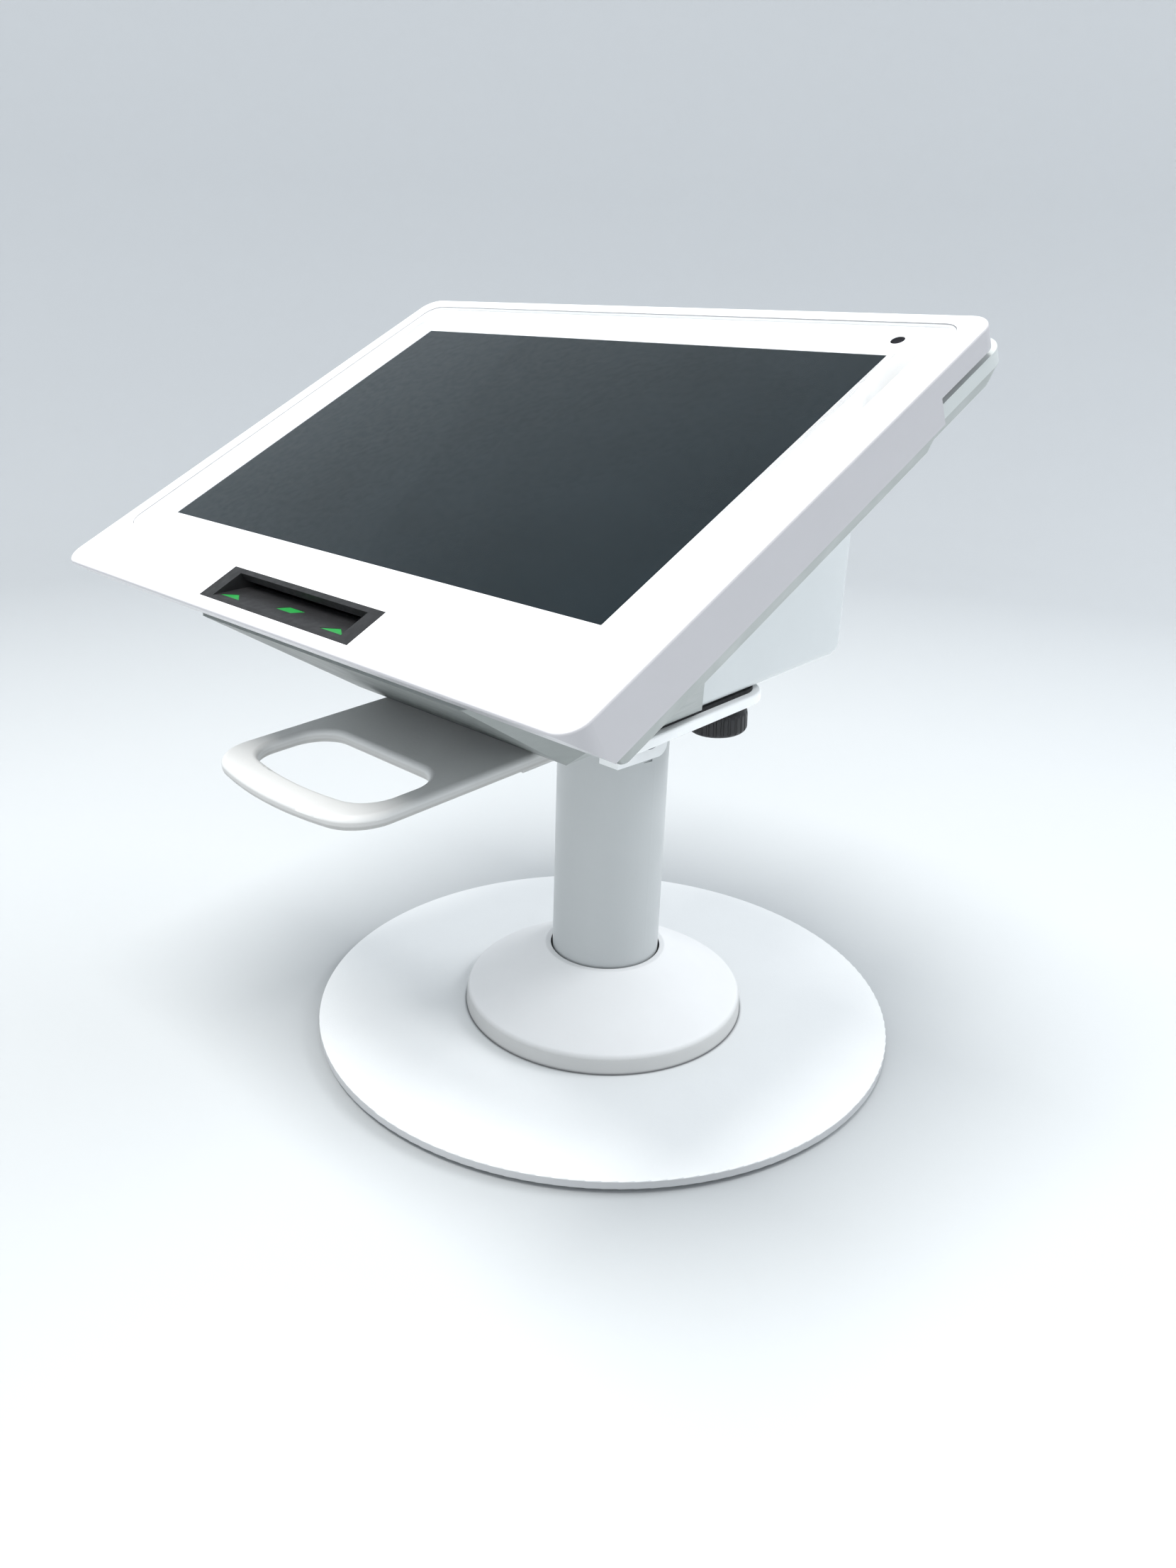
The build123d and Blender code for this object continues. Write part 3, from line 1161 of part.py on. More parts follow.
def platen_gear():
    gear = gear_on_x(PLATEN_TEETH, PLATEN_PHASE, *PLATEN_PLACE)
    return TERMINAL * (gear - rod(SHAFT_RADIUS, GEAR_X - 1, GEAR_X + 3 * GEAR_FACE, *PLATEN_PLACE))


def platen_bushes():
    """Plain bearings of the platen, pressed in the lid's two lugs."""
    bushes = []
    half = LUG_THICKNESS / 2
    for x in sides(LUG_X):
        outer = rod(BUSH_RADIUS, x - half, x + half, *PLATEN_PLACE)
        bushes.append(outer - rod(SHAFT_RADIUS + RUNNING_FIT, x - 1, x + 1, *PLATEN_PLACE))
    return TERMINAL * Compound(children=bushes)


def idler_gear():
    gear = gear_on_x(IDLER_TEETH, IDLER_PHASE, *IDLER_PLACE)
    bore = rod(IDLER_POST_RADIUS + RUNNING_FIT, GEAR_X - 1, GEAR_X + 3 * GEAR_FACE, *IDLER_PLACE)
    return TERMINAL * (gear - bore)


def motor_pinion():
    gear = gear_on_x(PINION_TEETH, PINION_PHASE, *PINION_PLACE)
    return TERMINAL * (gear - rod(MOTOR_SHAFT_RADIUS, GEAR_X - 1, GEAR_X + 3 * GEAR_FACE, *PINION_PLACE))


def motor_shaft():
    inner_end = MOTOR_FACE_X - MOTOR_LENGTH + 2
    outer_end = GEAR_X + GEAR_FACE + 0.6
    return TERMINAL * rod(MOTOR_SHAFT_RADIUS, inner_end, outer_end, *PINION_PLACE)


def stepper_motor():
    rear = MOTOR_FACE_X - MOTOR_LENGTH
    body = rod(MOTOR_RADIUS, rear, MOTOR_FACE_X, *PINION_PLACE)
    body = fillet(body.edges().filter_by(GeomType.CIRCLE), 0.6)
    well = rod(MOTOR_SHAFT_RADIUS + RUNNING_FIT, rear + 1.5, MOTOR_FACE_X + 1, *PINION_PLACE)
    return TERMINAL * (body - well)


def gear_plate():
    """Sheet bracket on the housing's right wall that carries the idler's post."""
    y, z = IDLER_PLACE
    wall = FOOT_HALF_WIDTH - SHELL_WALL
    front, back = y - 7, y + 3
    low, high = z - 10, z + 3
    plate = block(GEAR_PLATE_X, GEAR_PLATE_X + GEAR_SHEET, front, back, low, high)
    foot = block(GEAR_PLATE_X, wall, front, back, low, low + GEAR_SHEET)
    post_end = GEAR_X - 0.6
    post = rod(IDLER_POST_RADIUS, post_end, GEAR_PLATE_X, *IDLER_PLACE)
    washer = rod(IDLER_POST_RADIUS + 1.1, post_end - 0.6, post_end, *IDLER_PLACE)
    return TERMINAL * (plate + foot + post + washer)


def print_head():
    """Finned aluminium bar behind the heating strip."""
    back = HEAD_FACE_Y - HEAD_STRIP - HEAD_BAR
    half = HEAD_HALF_LENGTH
    bar = block(-half, half, back, back + HEAD_BAR, PLATEN_Z - 4.5, PLATEN_Z + 2.5)
    gap = HEAD_FIN_PITCH / 4
    for x in range(-3 * HEAD_FIN_PITCH, 3 * HEAD_FIN_PITCH + 1, HEAD_FIN_PITCH):
        bar -= block(x - gap, x + gap, back - 1, back + 1.3, PLATEN_Z - 3.6, PLATEN_Z + 1.6)
    return TERMINAL * bar


def print_strip():
    """Ceramic heating strip that faces the platen."""
    half = HEAD_HALF_LENGTH - 1
    back = HEAD_FACE_Y - HEAD_STRIP
    return TERMINAL * block(-half, half, back, HEAD_FACE_Y, PLATEN_Z - 3.0, PLATEN_Z + 2.0)


def head_rail():
    """Cross bar from wall to wall that backs the print head."""
    half = FOOT_HALF_WIDTH - SHELL_WALL
    front = HEAD_FACE_Y - HEAD_STRIP - HEAD_BAR - 1.6
    return TERMINAL * block(-half, half, front - HEAD_RAIL, front, PLATEN_Z - 4, PLATEN_Z + 2)


def tear_bar():
    """Toothed steel strip along the front of the paper exit."""
    half = PLATEN_HALF_LENGTH
    pitch = 2 * half / TEAR_TEETH
    points = [(-half, 0)]
    for i in range(TEAR_TEETH):
        x = -half + pitch * (i + 0.5)
        points.append((x, TEAR_TOOTH))
        points.append((x + pitch / 2, 0))
    points += [(half, -TEAR_STRIP), (-half, -TEAR_STRIP)]
    strip = extrude(make_face(Polyline(*points, close=True)), TEAR_SHEET)
    place = Pos(0, EXIT_Y - SEAM_GAP, TOP_FRONT[1] - TEAR_STRIP / 2) * Rot(90, 0, 0)
    return TERMINAL * place * strip


def paper_roll():
    half = ROLL_WIDTH / 2
    roll = rod(ROLL_RADIUS, -half, half, ROLL_Y, ROLL_Z)
    return TERMINAL * (roll - rod(ROLL_CORE_RADIUS, -half, half, ROLL_Y, ROLL_Z))


def paper_core():
    half = ROLL_WIDTH / 2
    tube = rod(ROLL_CORE_RADIUS, -half, half, ROLL_Y, ROLL_Z)
    return TERMINAL * (tube - rod(ROLL_CORE_RADIUS - CORE_WALL, -half, half, ROLL_Y, ROLL_Z))


# ---- Electronics -----------------------------------------------------------------------------
def main_board():
    half = BOARD_HALF_WIDTH
    low = BOARD_TOP - BOARD_THICKNESS
    board = rounded_block(-half, half, BOARD_LOW, BOARD_HIGH, low, BOARD_TOP, 2)
    return TERMINAL * FACE * board


def shield_cans():
    """Pressed covers over the board's processor, memory and radio."""
    cans = []
    for x, width in SHIELDS:
        cans.append(rounded_block(
            x - width / 2, x + width / 2, BOARD_LOW + 8, BOARD_HIGH - 8,
            BOARD_TOP, BOARD_TOP + SHIELD_HEIGHT, 1.5,
        ))
    return TERMINAL * FACE * Compound(children=cans)


def speaker():
    low = -BACK_DEPTH + SHELL_WALL + 2 * RUNNING_FIT
    high = BOARD_TOP - BOARD_THICKNESS - 0.4
    half = SPEAKER_WIDTH / 2
    body = rounded_block(
        SPEAKER_X - half, SPEAKER_X + half, BOARD_LOW + 6, BOARD_HIGH - 10, low, high, 3
    )
    return TERMINAL * FACE * body


def rear_connectors():
    """Sockets in the rear wall: power, network and a small data port."""
    shells = []
    face_y = HOUSING_REAR - 0.4
    mouth_depth = CONNECTOR_DEPTH - 3
    for x, width, height in CONNECTORS:
        body = Pos(x, face_y - CONNECTOR_DEPTH / 2, CONNECTOR_Z) * Box(width, CONNECTOR_DEPTH, height)
        mouth = Box(width - 2, 2 * mouth_depth, height - 1.8)
        shells.append(body - Pos(x, face_y, CONNECTOR_Z) * mouth)
    return TERMINAL * Compound(children=shells)


def shell_screws():
    """Screws that hold the rear shell to the bezel's bosses."""
    head_top = 1.5
    screw = disc(SHELL_SCREW_HEAD, 0, head_top)
    screw += disc(SHELL_SCREW_RADIUS, head_top, SHELL_SCREW_LENGTH)
    low = -BACK_DEPTH + SHELL_SCREW_SUNK
    return TERMINAL * FACE * Compound(children=[Pos(x, u, low) * screw for x, u in boss_places()])


PARTS = {
    "base_pads": base_pads,
    "base_plate": base_plate,
    "plate_screws": plate_screws,
    "swivel_housing": swivel_housing,
    "swivel_bush": swivel_bush,
    "thrust_washers": thrust_washers,
    "base_cover": base_cover,
    "pole_foot": pole_foot,
    "pole_tube": pole_tube,
    "pole_knuckle": pole_knuckle,
    "tilt_yoke": tilt_yoke,
    "tilt_bolt": tilt_bolt,
    "tilt_nut": tilt_nut,
    "friction_discs": friction_discs,
    "mounting_tray": mounting_tray,
    "tray_screws": tray_screws,
    "foot_gasket": foot_gasket,
    "handle": handle,
    "thumb_knob_right": lambda: thumb_knob(KNOB_X),
    "thumb_stud_right": lambda: thumb_stud(KNOB_X),
    "thumb_knob_left": lambda: thumb_knob(-KNOB_X),
    "thumb_stud_left": lambda: thumb_stud(-KNOB_X),
    "foot_inserts": foot_inserts,
    "front_bezel": front_bezel,
    "cover_glass": cover_glass,
    "glass_mask": glass_mask,
    "lcd_panel": lcd_panel,
    "display_chassis": display_chassis,
    "camera_module": camera_module,
    "card_slot_frame": card_slot_frame,
    "card_lights": card_lights,
    "card_reader": card_reader,
    "card_contacts": card_contacts,
    "magstripe_head": magstripe_head,
    "printer_housing": printer_housing,
    "power_button": lambda: side_button(POWER_PLACE),
    "door_release_button": lambda: side_button(RELEASE_PLACE),
    "paper_door": paper_door,
    "door_hinge_pin": door_hinge_pin,
    "platen_roller": platen_roller,
    "platen_shaft": platen_shaft,
    "platen_gear": platen_gear,
    "platen_bushes": platen_bushes,
    "idler_gear": idler_gear,
    "motor_pinion": motor_pinion,
    "motor_shaft": motor_shaft,
    "stepper_motor": stepper_motor,
    "print_head": print_head,
    "print_strip": print_strip,
    "head_rail": head_rail,
    "tear_bar": tear_bar,
    "paper_roll": paper_roll,
    "paper_core": paper_core,
    "main_board": main_board,
    "shield_cans": shield_cans,
    "rear_shell": rear_shell,
    "shell_screws": shell_screws,
    "speaker": speaker,
    "rear_connectors": rear_connectors,
    "gear_plate": gear_plate,
}

os.makedirs("parts", exist_ok=True)
for name, build in PARTS.items():
    export_step(build(), "parts/" + name + ".step")
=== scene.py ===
import math

import bpy
from mathutils import Matrix, Vector


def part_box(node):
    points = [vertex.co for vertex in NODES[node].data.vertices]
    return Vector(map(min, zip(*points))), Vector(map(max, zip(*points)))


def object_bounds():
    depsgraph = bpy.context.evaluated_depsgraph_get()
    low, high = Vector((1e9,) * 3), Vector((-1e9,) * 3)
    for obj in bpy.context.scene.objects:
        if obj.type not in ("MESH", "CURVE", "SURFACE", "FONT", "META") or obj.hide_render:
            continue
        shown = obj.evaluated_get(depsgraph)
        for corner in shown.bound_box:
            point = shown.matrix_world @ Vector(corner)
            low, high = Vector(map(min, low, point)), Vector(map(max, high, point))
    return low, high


# Looks, light and camera for the payment terminal on its pole stand. Every length is in
# metres and every piece stays where the frame puts it.

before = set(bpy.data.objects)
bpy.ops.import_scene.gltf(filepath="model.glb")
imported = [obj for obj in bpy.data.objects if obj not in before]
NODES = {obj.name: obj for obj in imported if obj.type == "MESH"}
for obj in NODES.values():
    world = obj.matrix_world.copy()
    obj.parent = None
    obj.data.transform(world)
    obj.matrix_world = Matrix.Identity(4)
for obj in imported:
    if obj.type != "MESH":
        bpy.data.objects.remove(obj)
CAD_LOW, CAD_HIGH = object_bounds()

# ---- Camera: in front, to the customer's right, looking slightly down -----------------------
CAMERA_AZIMUTH = 43.90
CAMERA_ELEVATION = 21.29
CAMERA_ROLL = 1.99
CAMERA_PLACE = Vector((0.24870, -0.26958, 0.22656))
CAMERA_LENS = 27.71
CAMERA_SENSOR = 36.0

# ---- Studio -----------------------------------------------------------------------------------
FLOOR_RADIUS = 0.80
SWEEP_RADIUS = 0.35
SWEEP_STEPS = 8
SWEEP_TURNS = 96
WALL_HEIGHT = 1.00
FADE_START = 0.35
FADE_END = 1.1
FLOOR_WHITE = (0.60, 0.62, 0.63)
WALL_GREY = (0.50, 0.52, 0.54)
SEEN_FLOOR_TONE = (0.88, 0.885, 0.89)
SKY_COLOUR = (0.90, 0.95, 1.0)
SKY_STRENGTH = 0.64
TOP_LIGHT = dict(place=(0.05, -0.45, 1.35), size=0.6, power=22.0, colour=(1.0, 0.99, 0.97))
SIDE_LIGHT = dict(place=(0.65, 0.85, 0.85), size=0.7, power=13.0, colour=(0.96, 0.98, 1.0))
FRONT_LIGHT = dict(place=(0.35, -0.85, 0.7), size=0.7, power=0.5, colour=(0.98, 0.99, 1.0))


def widest_normal(name):
    """Which way a sheet-like node looks: the upward normal of its widest polygon."""
    upward = [polygon for polygon in NODES[name].data.polygons if polygon.normal.z > 0]
    return tuple(max(upward, key=lambda polygon: polygon.area).normal)


# ---- Painted shade: a colour is multiplied by a darker tone where its surface turns away from its main side -----
FACE_NORMAL = widest_normal("cover_glass")
BEZEL_SIDE_PAINTED_SHADE = (0.54, 0.53, 0.54)
UPWARD = (0.0, 0.0, 1.0)
CHIN_NORMAL = (0.0, -0.52, -0.85)
CHIN_PAINTED_SHADE = (0.46, 0.47, 0.47)
SHELL_BACK_PAINTED_SHADE = (0.64, 0.65, 0.64)
PLATE_EDGE_PAINTED_SHADE = (0.55, 0.55, 0.56)
COVER_SIDE_PAINTED_SHADE = (0.66, 0.66, 0.65)
GRIP_SIDE_PAINTED_SHADE = (0.62, 0.61, 0.60)
# painted crease shadow where two pieces meet: its tone, how far the occlusion looks, where it is full
# and where none
CREASE_PAINTED_SHADE = (0.12, 0.12, 0.13)
CREASE_REACH = 0.0013
CREASE_FULL = 0.5
CREASE_NONE = 0.9

# ---- Values that more than one finish, or more than one part of the glass, needs ---------------
POWDER_WHITE = (0.90, 0.915, 0.92)
GLASS_TINT = (0.985, 0.99, 0.99)
GLASS_EDGE_WHITE = (0.93, 0.935, 0.945)
GLASS_INDEX = 1.24


# ---- Node helpers -------------------------------------------------------------------------------
class Look:
    """A material under construction: its tree, its main shader and object coordinates."""

    def __init__(self, name):
        self.material = bpy.data.materials.new(name)
        self.material.use_nodes = True
        self.tree = self.material.node_tree
        self.shader = self.tree.nodes["Principled BSDF"]
        self.place = self.node("ShaderNodeTexCoord").outputs["Object"]

    def node(self, kind, **settings):
        made = self.tree.nodes.new(kind)
        for key, value in settings.items():
            setattr(made, key, value)
        return made

    def link(self, source, target):
        self.tree.links.new(source, target)

    def set(self, **values):
        for key, value in values.items():
            self.shader.inputs[key.replace("_", " ")].default_value = value

    def noise(self, size, detail=2.0, stretch=(1, 1, 1)):
        """Noise whose grain is about `size` metres across, pulled out along an axis if asked."""
        mapping = self.node("ShaderNodeMapping")
        mapping.inputs["Scale"].default_value = stretch
        self.link(self.place, mapping.inputs["Vector"])
        noise = self.node("ShaderNodeTexNoise")
        noise.inputs["Scale"].default_value = 1 / size
        noise.inputs["Detail"].default_value = detail
        self.link(mapping.outputs["Vector"], noise.inputs["Vector"])
        return noise.outputs["Fac"]

    def ranged(self, value, low, high, start=0.3, end=0.7):
        """Maps the middle of a texture's range onto low..high."""
        ramp = self.node("ShaderNodeMapRange")
        ramp.inputs["From Min"].default_value = start
        ramp.inputs["From Max"].default_value = end
        ramp.inputs["To Min"].default_value = low
        ramp.inputs["To Max"].default_value = high
        self.link(value, ramp.inputs["Value"])
        return ramp.outputs["Result"]

    def multiply_colour(self, amount, tone):
        """Multiplies the colour so far by a tone, by a 0..1 amount."""
        mix = self.node("ShaderNodeMix", data_type="RGBA", blend_type="MULTIPLY")
        self.link(amount, mix.inputs["Factor"])
        self.link(self.shader.inputs["Base Color"].links[0].from_socket, mix.inputs["A"])
        mix.inputs["B"].default_value = (*tone, 1)
        self.link(mix.outputs["Result"], self.shader.inputs["Base Color"])

    def mixed(self, amount, first, second):
        """Mixes two shaders by a 0..1 amount."""
        mix = self.node("ShaderNodeMixShader")
        self.link(amount, mix.inputs[0])
        self.link(first, mix.inputs[1])
        self.link(second, mix.inputs[2])
        return mix.outputs["Shader"]

    def blend(self, amount, first, second):
        """Mixes two colours by a 0..1 amount."""
        mix = self.node("ShaderNodeMix", data_type="RGBA")
        self.link(amount, mix.inputs["Factor"])
        mix.inputs["A"].default_value = (*first, 1)
        mix.inputs["B"].default_value = (*second, 1)
        return mix.outputs["Result"]

    def bump(self, height, depth):
        """Bumps the surface by up to `depth` metres."""
        bump = self.node("ShaderNodeBump")
        bump.inputs["Distance"].default_value = depth
        self.link(height, bump.inputs["Height"])
        self.link(bump.outputs["Normal"], self.shader.inputs["Normal"])


def scaled(colour, factor):
    return tuple(channel * factor for channel in colour)


def surface(name, colour, rough, grain, depth, mottle=0.03, patch=0.02, coat=0.0, metallic=0.0,
            stretch=(1, 1, 1)):
    """A plain finish: mottled colour, uneven sheen and a fine grain in the surface."""
    look = Look(name)
    patches = look.ranged(look.noise(patch, detail=3.0), 0, 1)
    look.link(look.blend(patches, scaled(colour, 1 - mottle), colour), look.shader.inputs["Base Color"])
    sheen = look.ranged(look.noise(patch * 0.4, detail=4.0, stretch=stretch), rough * 0.85, rough * 1.2)
    look.link(sheen, look.shader.inputs["Roughness"])
    look.set(Metallic=metallic)
    look.set(Coat_Weight=coat, Coat_Roughness=rough * 0.5)
    look.bump(look.noise(grain, stretch=stretch), depth)
    return look


def facing(look, direction):
    """How squarely the surface faces a direction: 1 straight on, 0 edge on, -1 facing away."""
    dot = look.node("ShaderNodeVectorMath", operation="DOT_PRODUCT")
    look.link(look.node("ShaderNodeTexCoord").outputs["Normal"], dot.inputs[0])
    dot.inputs[1].default_value = direction
    return dot.outputs["Value"]


def painted_shade(look, direction, none_at, full_at, tone):
    """Paints shade: multiplies the colour by a darker tone as the facing goes from none_at to full_at.
    """
    low, high = sorted((none_at, full_at))
    at_low, at_high = (0, 1) if none_at < full_at else (1, 0)
    look.multiply_colour(look.ranged(facing(look, direction), at_low, at_high, low, high), tone)


def painted_crease_shade(look):
    """Paints a crease shadow: darkens the colour in the tight corner where two pieces meet."""
    crease = look.node("ShaderNodeAmbientOcclusion", samples=8)
    crease.inputs["Distance"].default_value = CREASE_REACH
    look.multiply_colour(look.ranged(crease.outputs["AO"], 1, 0, CREASE_FULL, CREASE_NONE), CREASE_PAINTED_SHADE)


# ---- Materials ------------------------------------------------------------------------------------
def bezel_paint():
    """Smooth moulded white front; the sides of the moulding get painted shade and read greyer."""
    look = surface("bezel_white", (0.86, 0.865, 0.885), rough=0.33, grain=0.0011, depth=0.000006,
                   mottle=0.015, coat=0.25)
    # painted shade on the sides of the moulding
    painted_shade(look, FACE_NORMAL, none_at=0.97, full_at=0.55, tone=BEZEL_SIDE_PAINTED_SHADE)
    return look


def mask_ink():
    return surface("mask_white", (0.95, 0.955, 0.965), rough=0.4, grain=0.0004, depth=0.000002,
                   mottle=0.008)


def shell_plastic():
    """Satin moulding with a fine spark-eroded grain, with painted shade on its back and the chin's
    underside.
    """
    look = surface("shell_satin", (0.54, 0.57, 0.565), rough=0.42, grain=0.00045, depth=0.00002)
    # painted shade on the back and on the chin's underside
    painted_shade(look, FACE_NORMAL, none_at=-0.1, full_at=-0.4, tone=SHELL_BACK_PAINTED_SHADE)
    painted_shade(look, CHIN_NORMAL, none_at=0.8, full_at=0.97, tone=CHIN_PAINTED_SHADE)
    return look


def housing_plastic():
    return surface("housing_gloss", (0.60, 0.63, 0.64), rough=0.22, grain=0.0016, depth=0.000005,
                   mottle=0.02, coat=0.6)


def powder_coat():
    """Baked powder paint: white, softly pebbled."""
    return surface("powder_white", POWDER_WHITE, rough=0.42, grain=0.0009, depth=0.00004, mottle=0.015)


def plate_coat():
    """The same powder paint, with painted shade round the cut edge and a painted crease shadow where the
    cover stands on it.
    """
    look = surface("powder_plate", POWDER_WHITE, rough=0.42, grain=0.0009, depth=0.00004, mottle=0.015)
    # painted shade round the plate's edge
    painted_shade(look, UPWARD, none_at=0.85, full_at=0.45, tone=PLATE_EDGE_PAINTED_SHADE)
    painted_crease_shade(look)
    return look


def grip_coat():
    """Powder paint set greyer than the stand's white as painted shade from the terminal overhead, with
    more painted shade on what faces down.
    """
    # the greyer colour is painted shade from the terminal overhead
    look = surface("powder_grip", (0.66, 0.665, 0.66), rough=0.42, grain=0.0009, depth=0.00004,
                   mottle=0.02)
    painted_shade(look, UPWARD, none_at=0.2, full_at=-0.25, tone=GRIP_SIDE_PAINTED_SHADE)
    return look


def pole_paint():
    return surface("pole_satin", (0.50, 0.52, 0.525), rough=0.34, grain=0.0009, depth=0.00002,
                   mottle=0.02)


def cover_plastic():
    """Satin moulding, with painted shade down its short upright rim and a painted crease shadow where it
    stands.
    """
    look = surface("cover_satin", (0.93, 0.93, 0.93), rough=0.45, grain=0.0006, depth=0.00002,
                   mottle=0.02)
    # painted shade down the cover's upright rim
    painted_shade(look, UPWARD, none_at=0.75, full_at=0.3, tone=COVER_SIDE_PAINTED_SHADE)
    painted_crease_shade(look)
    return look


def dark_plastic(name, colour, rough):
    return surface(name, colour, rough, grain=0.0005, depth=0.00002, mottle=0.25, patch=0.006)


def rubber():
    return surface("rubber_black", (0.018, 0.018, 0.02), rough=0.75, grain=0.0006, depth=0.00004,
                   mottle=0.3, patch=0.005)


def nylon():
    return surface("nylon_natural", (0.78, 0.76, 0.70), rough=0.5, grain=0.0007, depth=0.00001,
                   mottle=0.06, patch=0.004)


def brushed(name, colour, along=(1, 1, 1), rough=0.32):
    """Metal with fine marks drawn out along one direction."""
    return surface(name, colour, rough, grain=0.0003, depth=0.000008, mottle=0.12, patch=0.003,
                   metallic=1.0, stretch=along)


def cast_metal():
    return surface("die_cast", (0.50, 0.51, 0.53), rough=0.5, grain=0.0008, depth=0.00004,
                   mottle=0.15, patch=0.005, metallic=1.0)


def ceramic():
    return surface("ceramic_strip", (0.82, 0.80, 0.75), rough=0.18, grain=0.0006, depth=0.000004,
                   mottle=0.05, patch=0.004)


def display():
    """The dark screen: near-black slate with a very fine, faint grain."""
    look = Look("display_dark")
    patches = look.ranged(look.noise(0.05), 0, 1)
    look.link(look.blend(patches, (0.003, 0.008, 0.011), (0.006, 0.012, 0.016)),
              look.shader.inputs["Base Color"])
    look.link(look.ranged(look.noise(0.002), 0.28, 0.42), look.shader.inputs["Roughness"])
    look.set(Specular_IOR_Level=0.1)
    look.bump(look.noise(0.0004), 0.000004)
    return look


def glass_mirror(look):
    """The sheet's reflection: sharp, with faint smudges and the slightest ripple."""
    shine = look.node("ShaderNodeBsdfGlossy")
    smudge = look.ranged(look.noise(0.012, detail=5.0), 0.015, 0.07, start=0.35, end=0.75)
    look.link(smudge, shine.inputs["Roughness"])
    ripple = look.node("ShaderNodeBump")
    ripple.inputs["Distance"].default_value = 0.000002
    look.link(look.noise(0.003), ripple.inputs["Height"])
    look.link(ripple.outputs["Normal"], shine.inputs["Normal"])
    return shine.outputs["BSDF"]


def glass_reflectance(look):
    """How much of the light the sheet reflects: none on its inner side, more at grazing angles."""
    fresnel = look.node("ShaderNodeFresnel")
    fresnel.inputs["IOR"].default_value = GLASS_INDEX
    outer = look.node("ShaderNodeMath", operation="SUBTRACT")
    outer.inputs[0].default_value = 1
    look.link(look.node("ShaderNodeNewGeometry").outputs["Backfacing"], outer.inputs[1])
    front = look.node("ShaderNodeMath", operation="MULTIPLY")
    look.link(fresnel.outputs["Fac"], front.inputs[0])
    look.link(outer.outputs["Value"], front.inputs[1])
    return front.outputs["Value"]


def cover_glass():
    """Clear sheet with mirror reflections and a white edge all round."""
    look = Look("cover_glass_clear")
    clear = look.node("ShaderNodeBsdfTransparent")
    clear.inputs["Color"].default_value = (*GLASS_TINT, 1)
    sheet = look.mixed(glass_reflectance(look), clear.outputs["BSDF"], glass_mirror(look))
    edge = look.node("ShaderNodeBsdfDiffuse")
    edge.inputs["Color"].default_value = (*GLASS_EDGE_WHITE, 1)
    squareness = look.node("ShaderNodeMath", operation="ABSOLUTE")
    look.link(facing(look, FACE_NORMAL), squareness.inputs[0])
    is_sheet = look.ranged(squareness.outputs["Value"], 0, 1, start=0.5, end=0.6)
    finish = look.mixed(is_sheet, edge.outputs["BSDF"], sheet)
    look.link(finish, look.tree.nodes["Material Output"].inputs["Surface"])
    return look


def card_light():
    """Green light pipes with a slightly uneven glow."""
    look = Look("card_light_green")
    glow = look.ranged(look.noise(0.002, detail=1.0), 0.6, 1.3)
    look.set(Base_Color=(0.012, 0.20, 0.04, 1), Roughness=0.35)
    look.shader.inputs["Emission Color"].default_value = (0.010, 0.12, 0.02, 1)
    look.link(glow, look.shader.inputs["Emission Strength"])
    look.bump(look.noise(0.0008), 0.00001)
    return look


def circuit_board():
    """Green solder mask: dark blocks between paler copper runs."""
    look = Look("board_green")
    brick = look.node("ShaderNodeTexBrick")
    brick.inputs["Scale"].default_value = 260
    brick.inputs["Mortar Size"].default_value = 0.035
    brick.inputs["Color1"].default_value = (0.012, 0.09, 0.04, 1)
    brick.inputs["Color2"].default_value = (0.016, 0.12, 0.05, 1)
    brick.inputs["Mortar"].default_value = (0.05, 0.26, 0.10, 1)
    look.link(look.place, brick.inputs["Vector"])
    look.link(brick.outputs["Color"], look.shader.inputs["Base Color"])
    look.link(look.ranged(look.noise(0.004), 0.25, 0.4), look.shader.inputs["Roughness"])
    look.bump(brick.outputs["Fac"], 0.00002)
    return look


def roll_paper():
    """Receipt paper wound on a core: white sides, layered rings on both ends."""
    look = Look("roll_paper")
    low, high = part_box("paper_roll")
    middle = (low + high) / 2
    shift = look.node("ShaderNodeMapping")
    shift.inputs["Location"].default_value = -middle
    look.link(look.place, shift.inputs["Vector"])
    rings = look.node("ShaderNodeTexWave", wave_type="RINGS", rings_direction="X")
    rings.inputs["Scale"].default_value = 450
    rings.inputs["Distortion"].default_value = 0.4
    look.link(shift.outputs["Vector"], rings.inputs["Vector"])
    look.link(look.blend(rings.outputs["Fac"], (0.80, 0.80, 0.78), (0.90, 0.90, 0.885)),
              look.shader.inputs["Base Color"])
    look.link(look.ranged(look.noise(0.002), 0.55, 0.7), look.shader.inputs["Roughness"])
    look.bump(rings.outputs["Fac"], 0.00003)
    return look


def cardboard():
    return surface("core_cardboard", (0.36, 0.26, 0.16), rough=0.8, grain=0.0005, depth=0.00005,
                   mottle=0.25, patch=0.003)


# ---- Which node wears which material ----------------------------------------------------------------
def dress(look, *names):
    """Gives the nodes this material, in place of the plain one they came with."""
    for name in names:
        mesh = NODES[name].data
        mesh.materials.clear()
        mesh.materials.append(look.material)


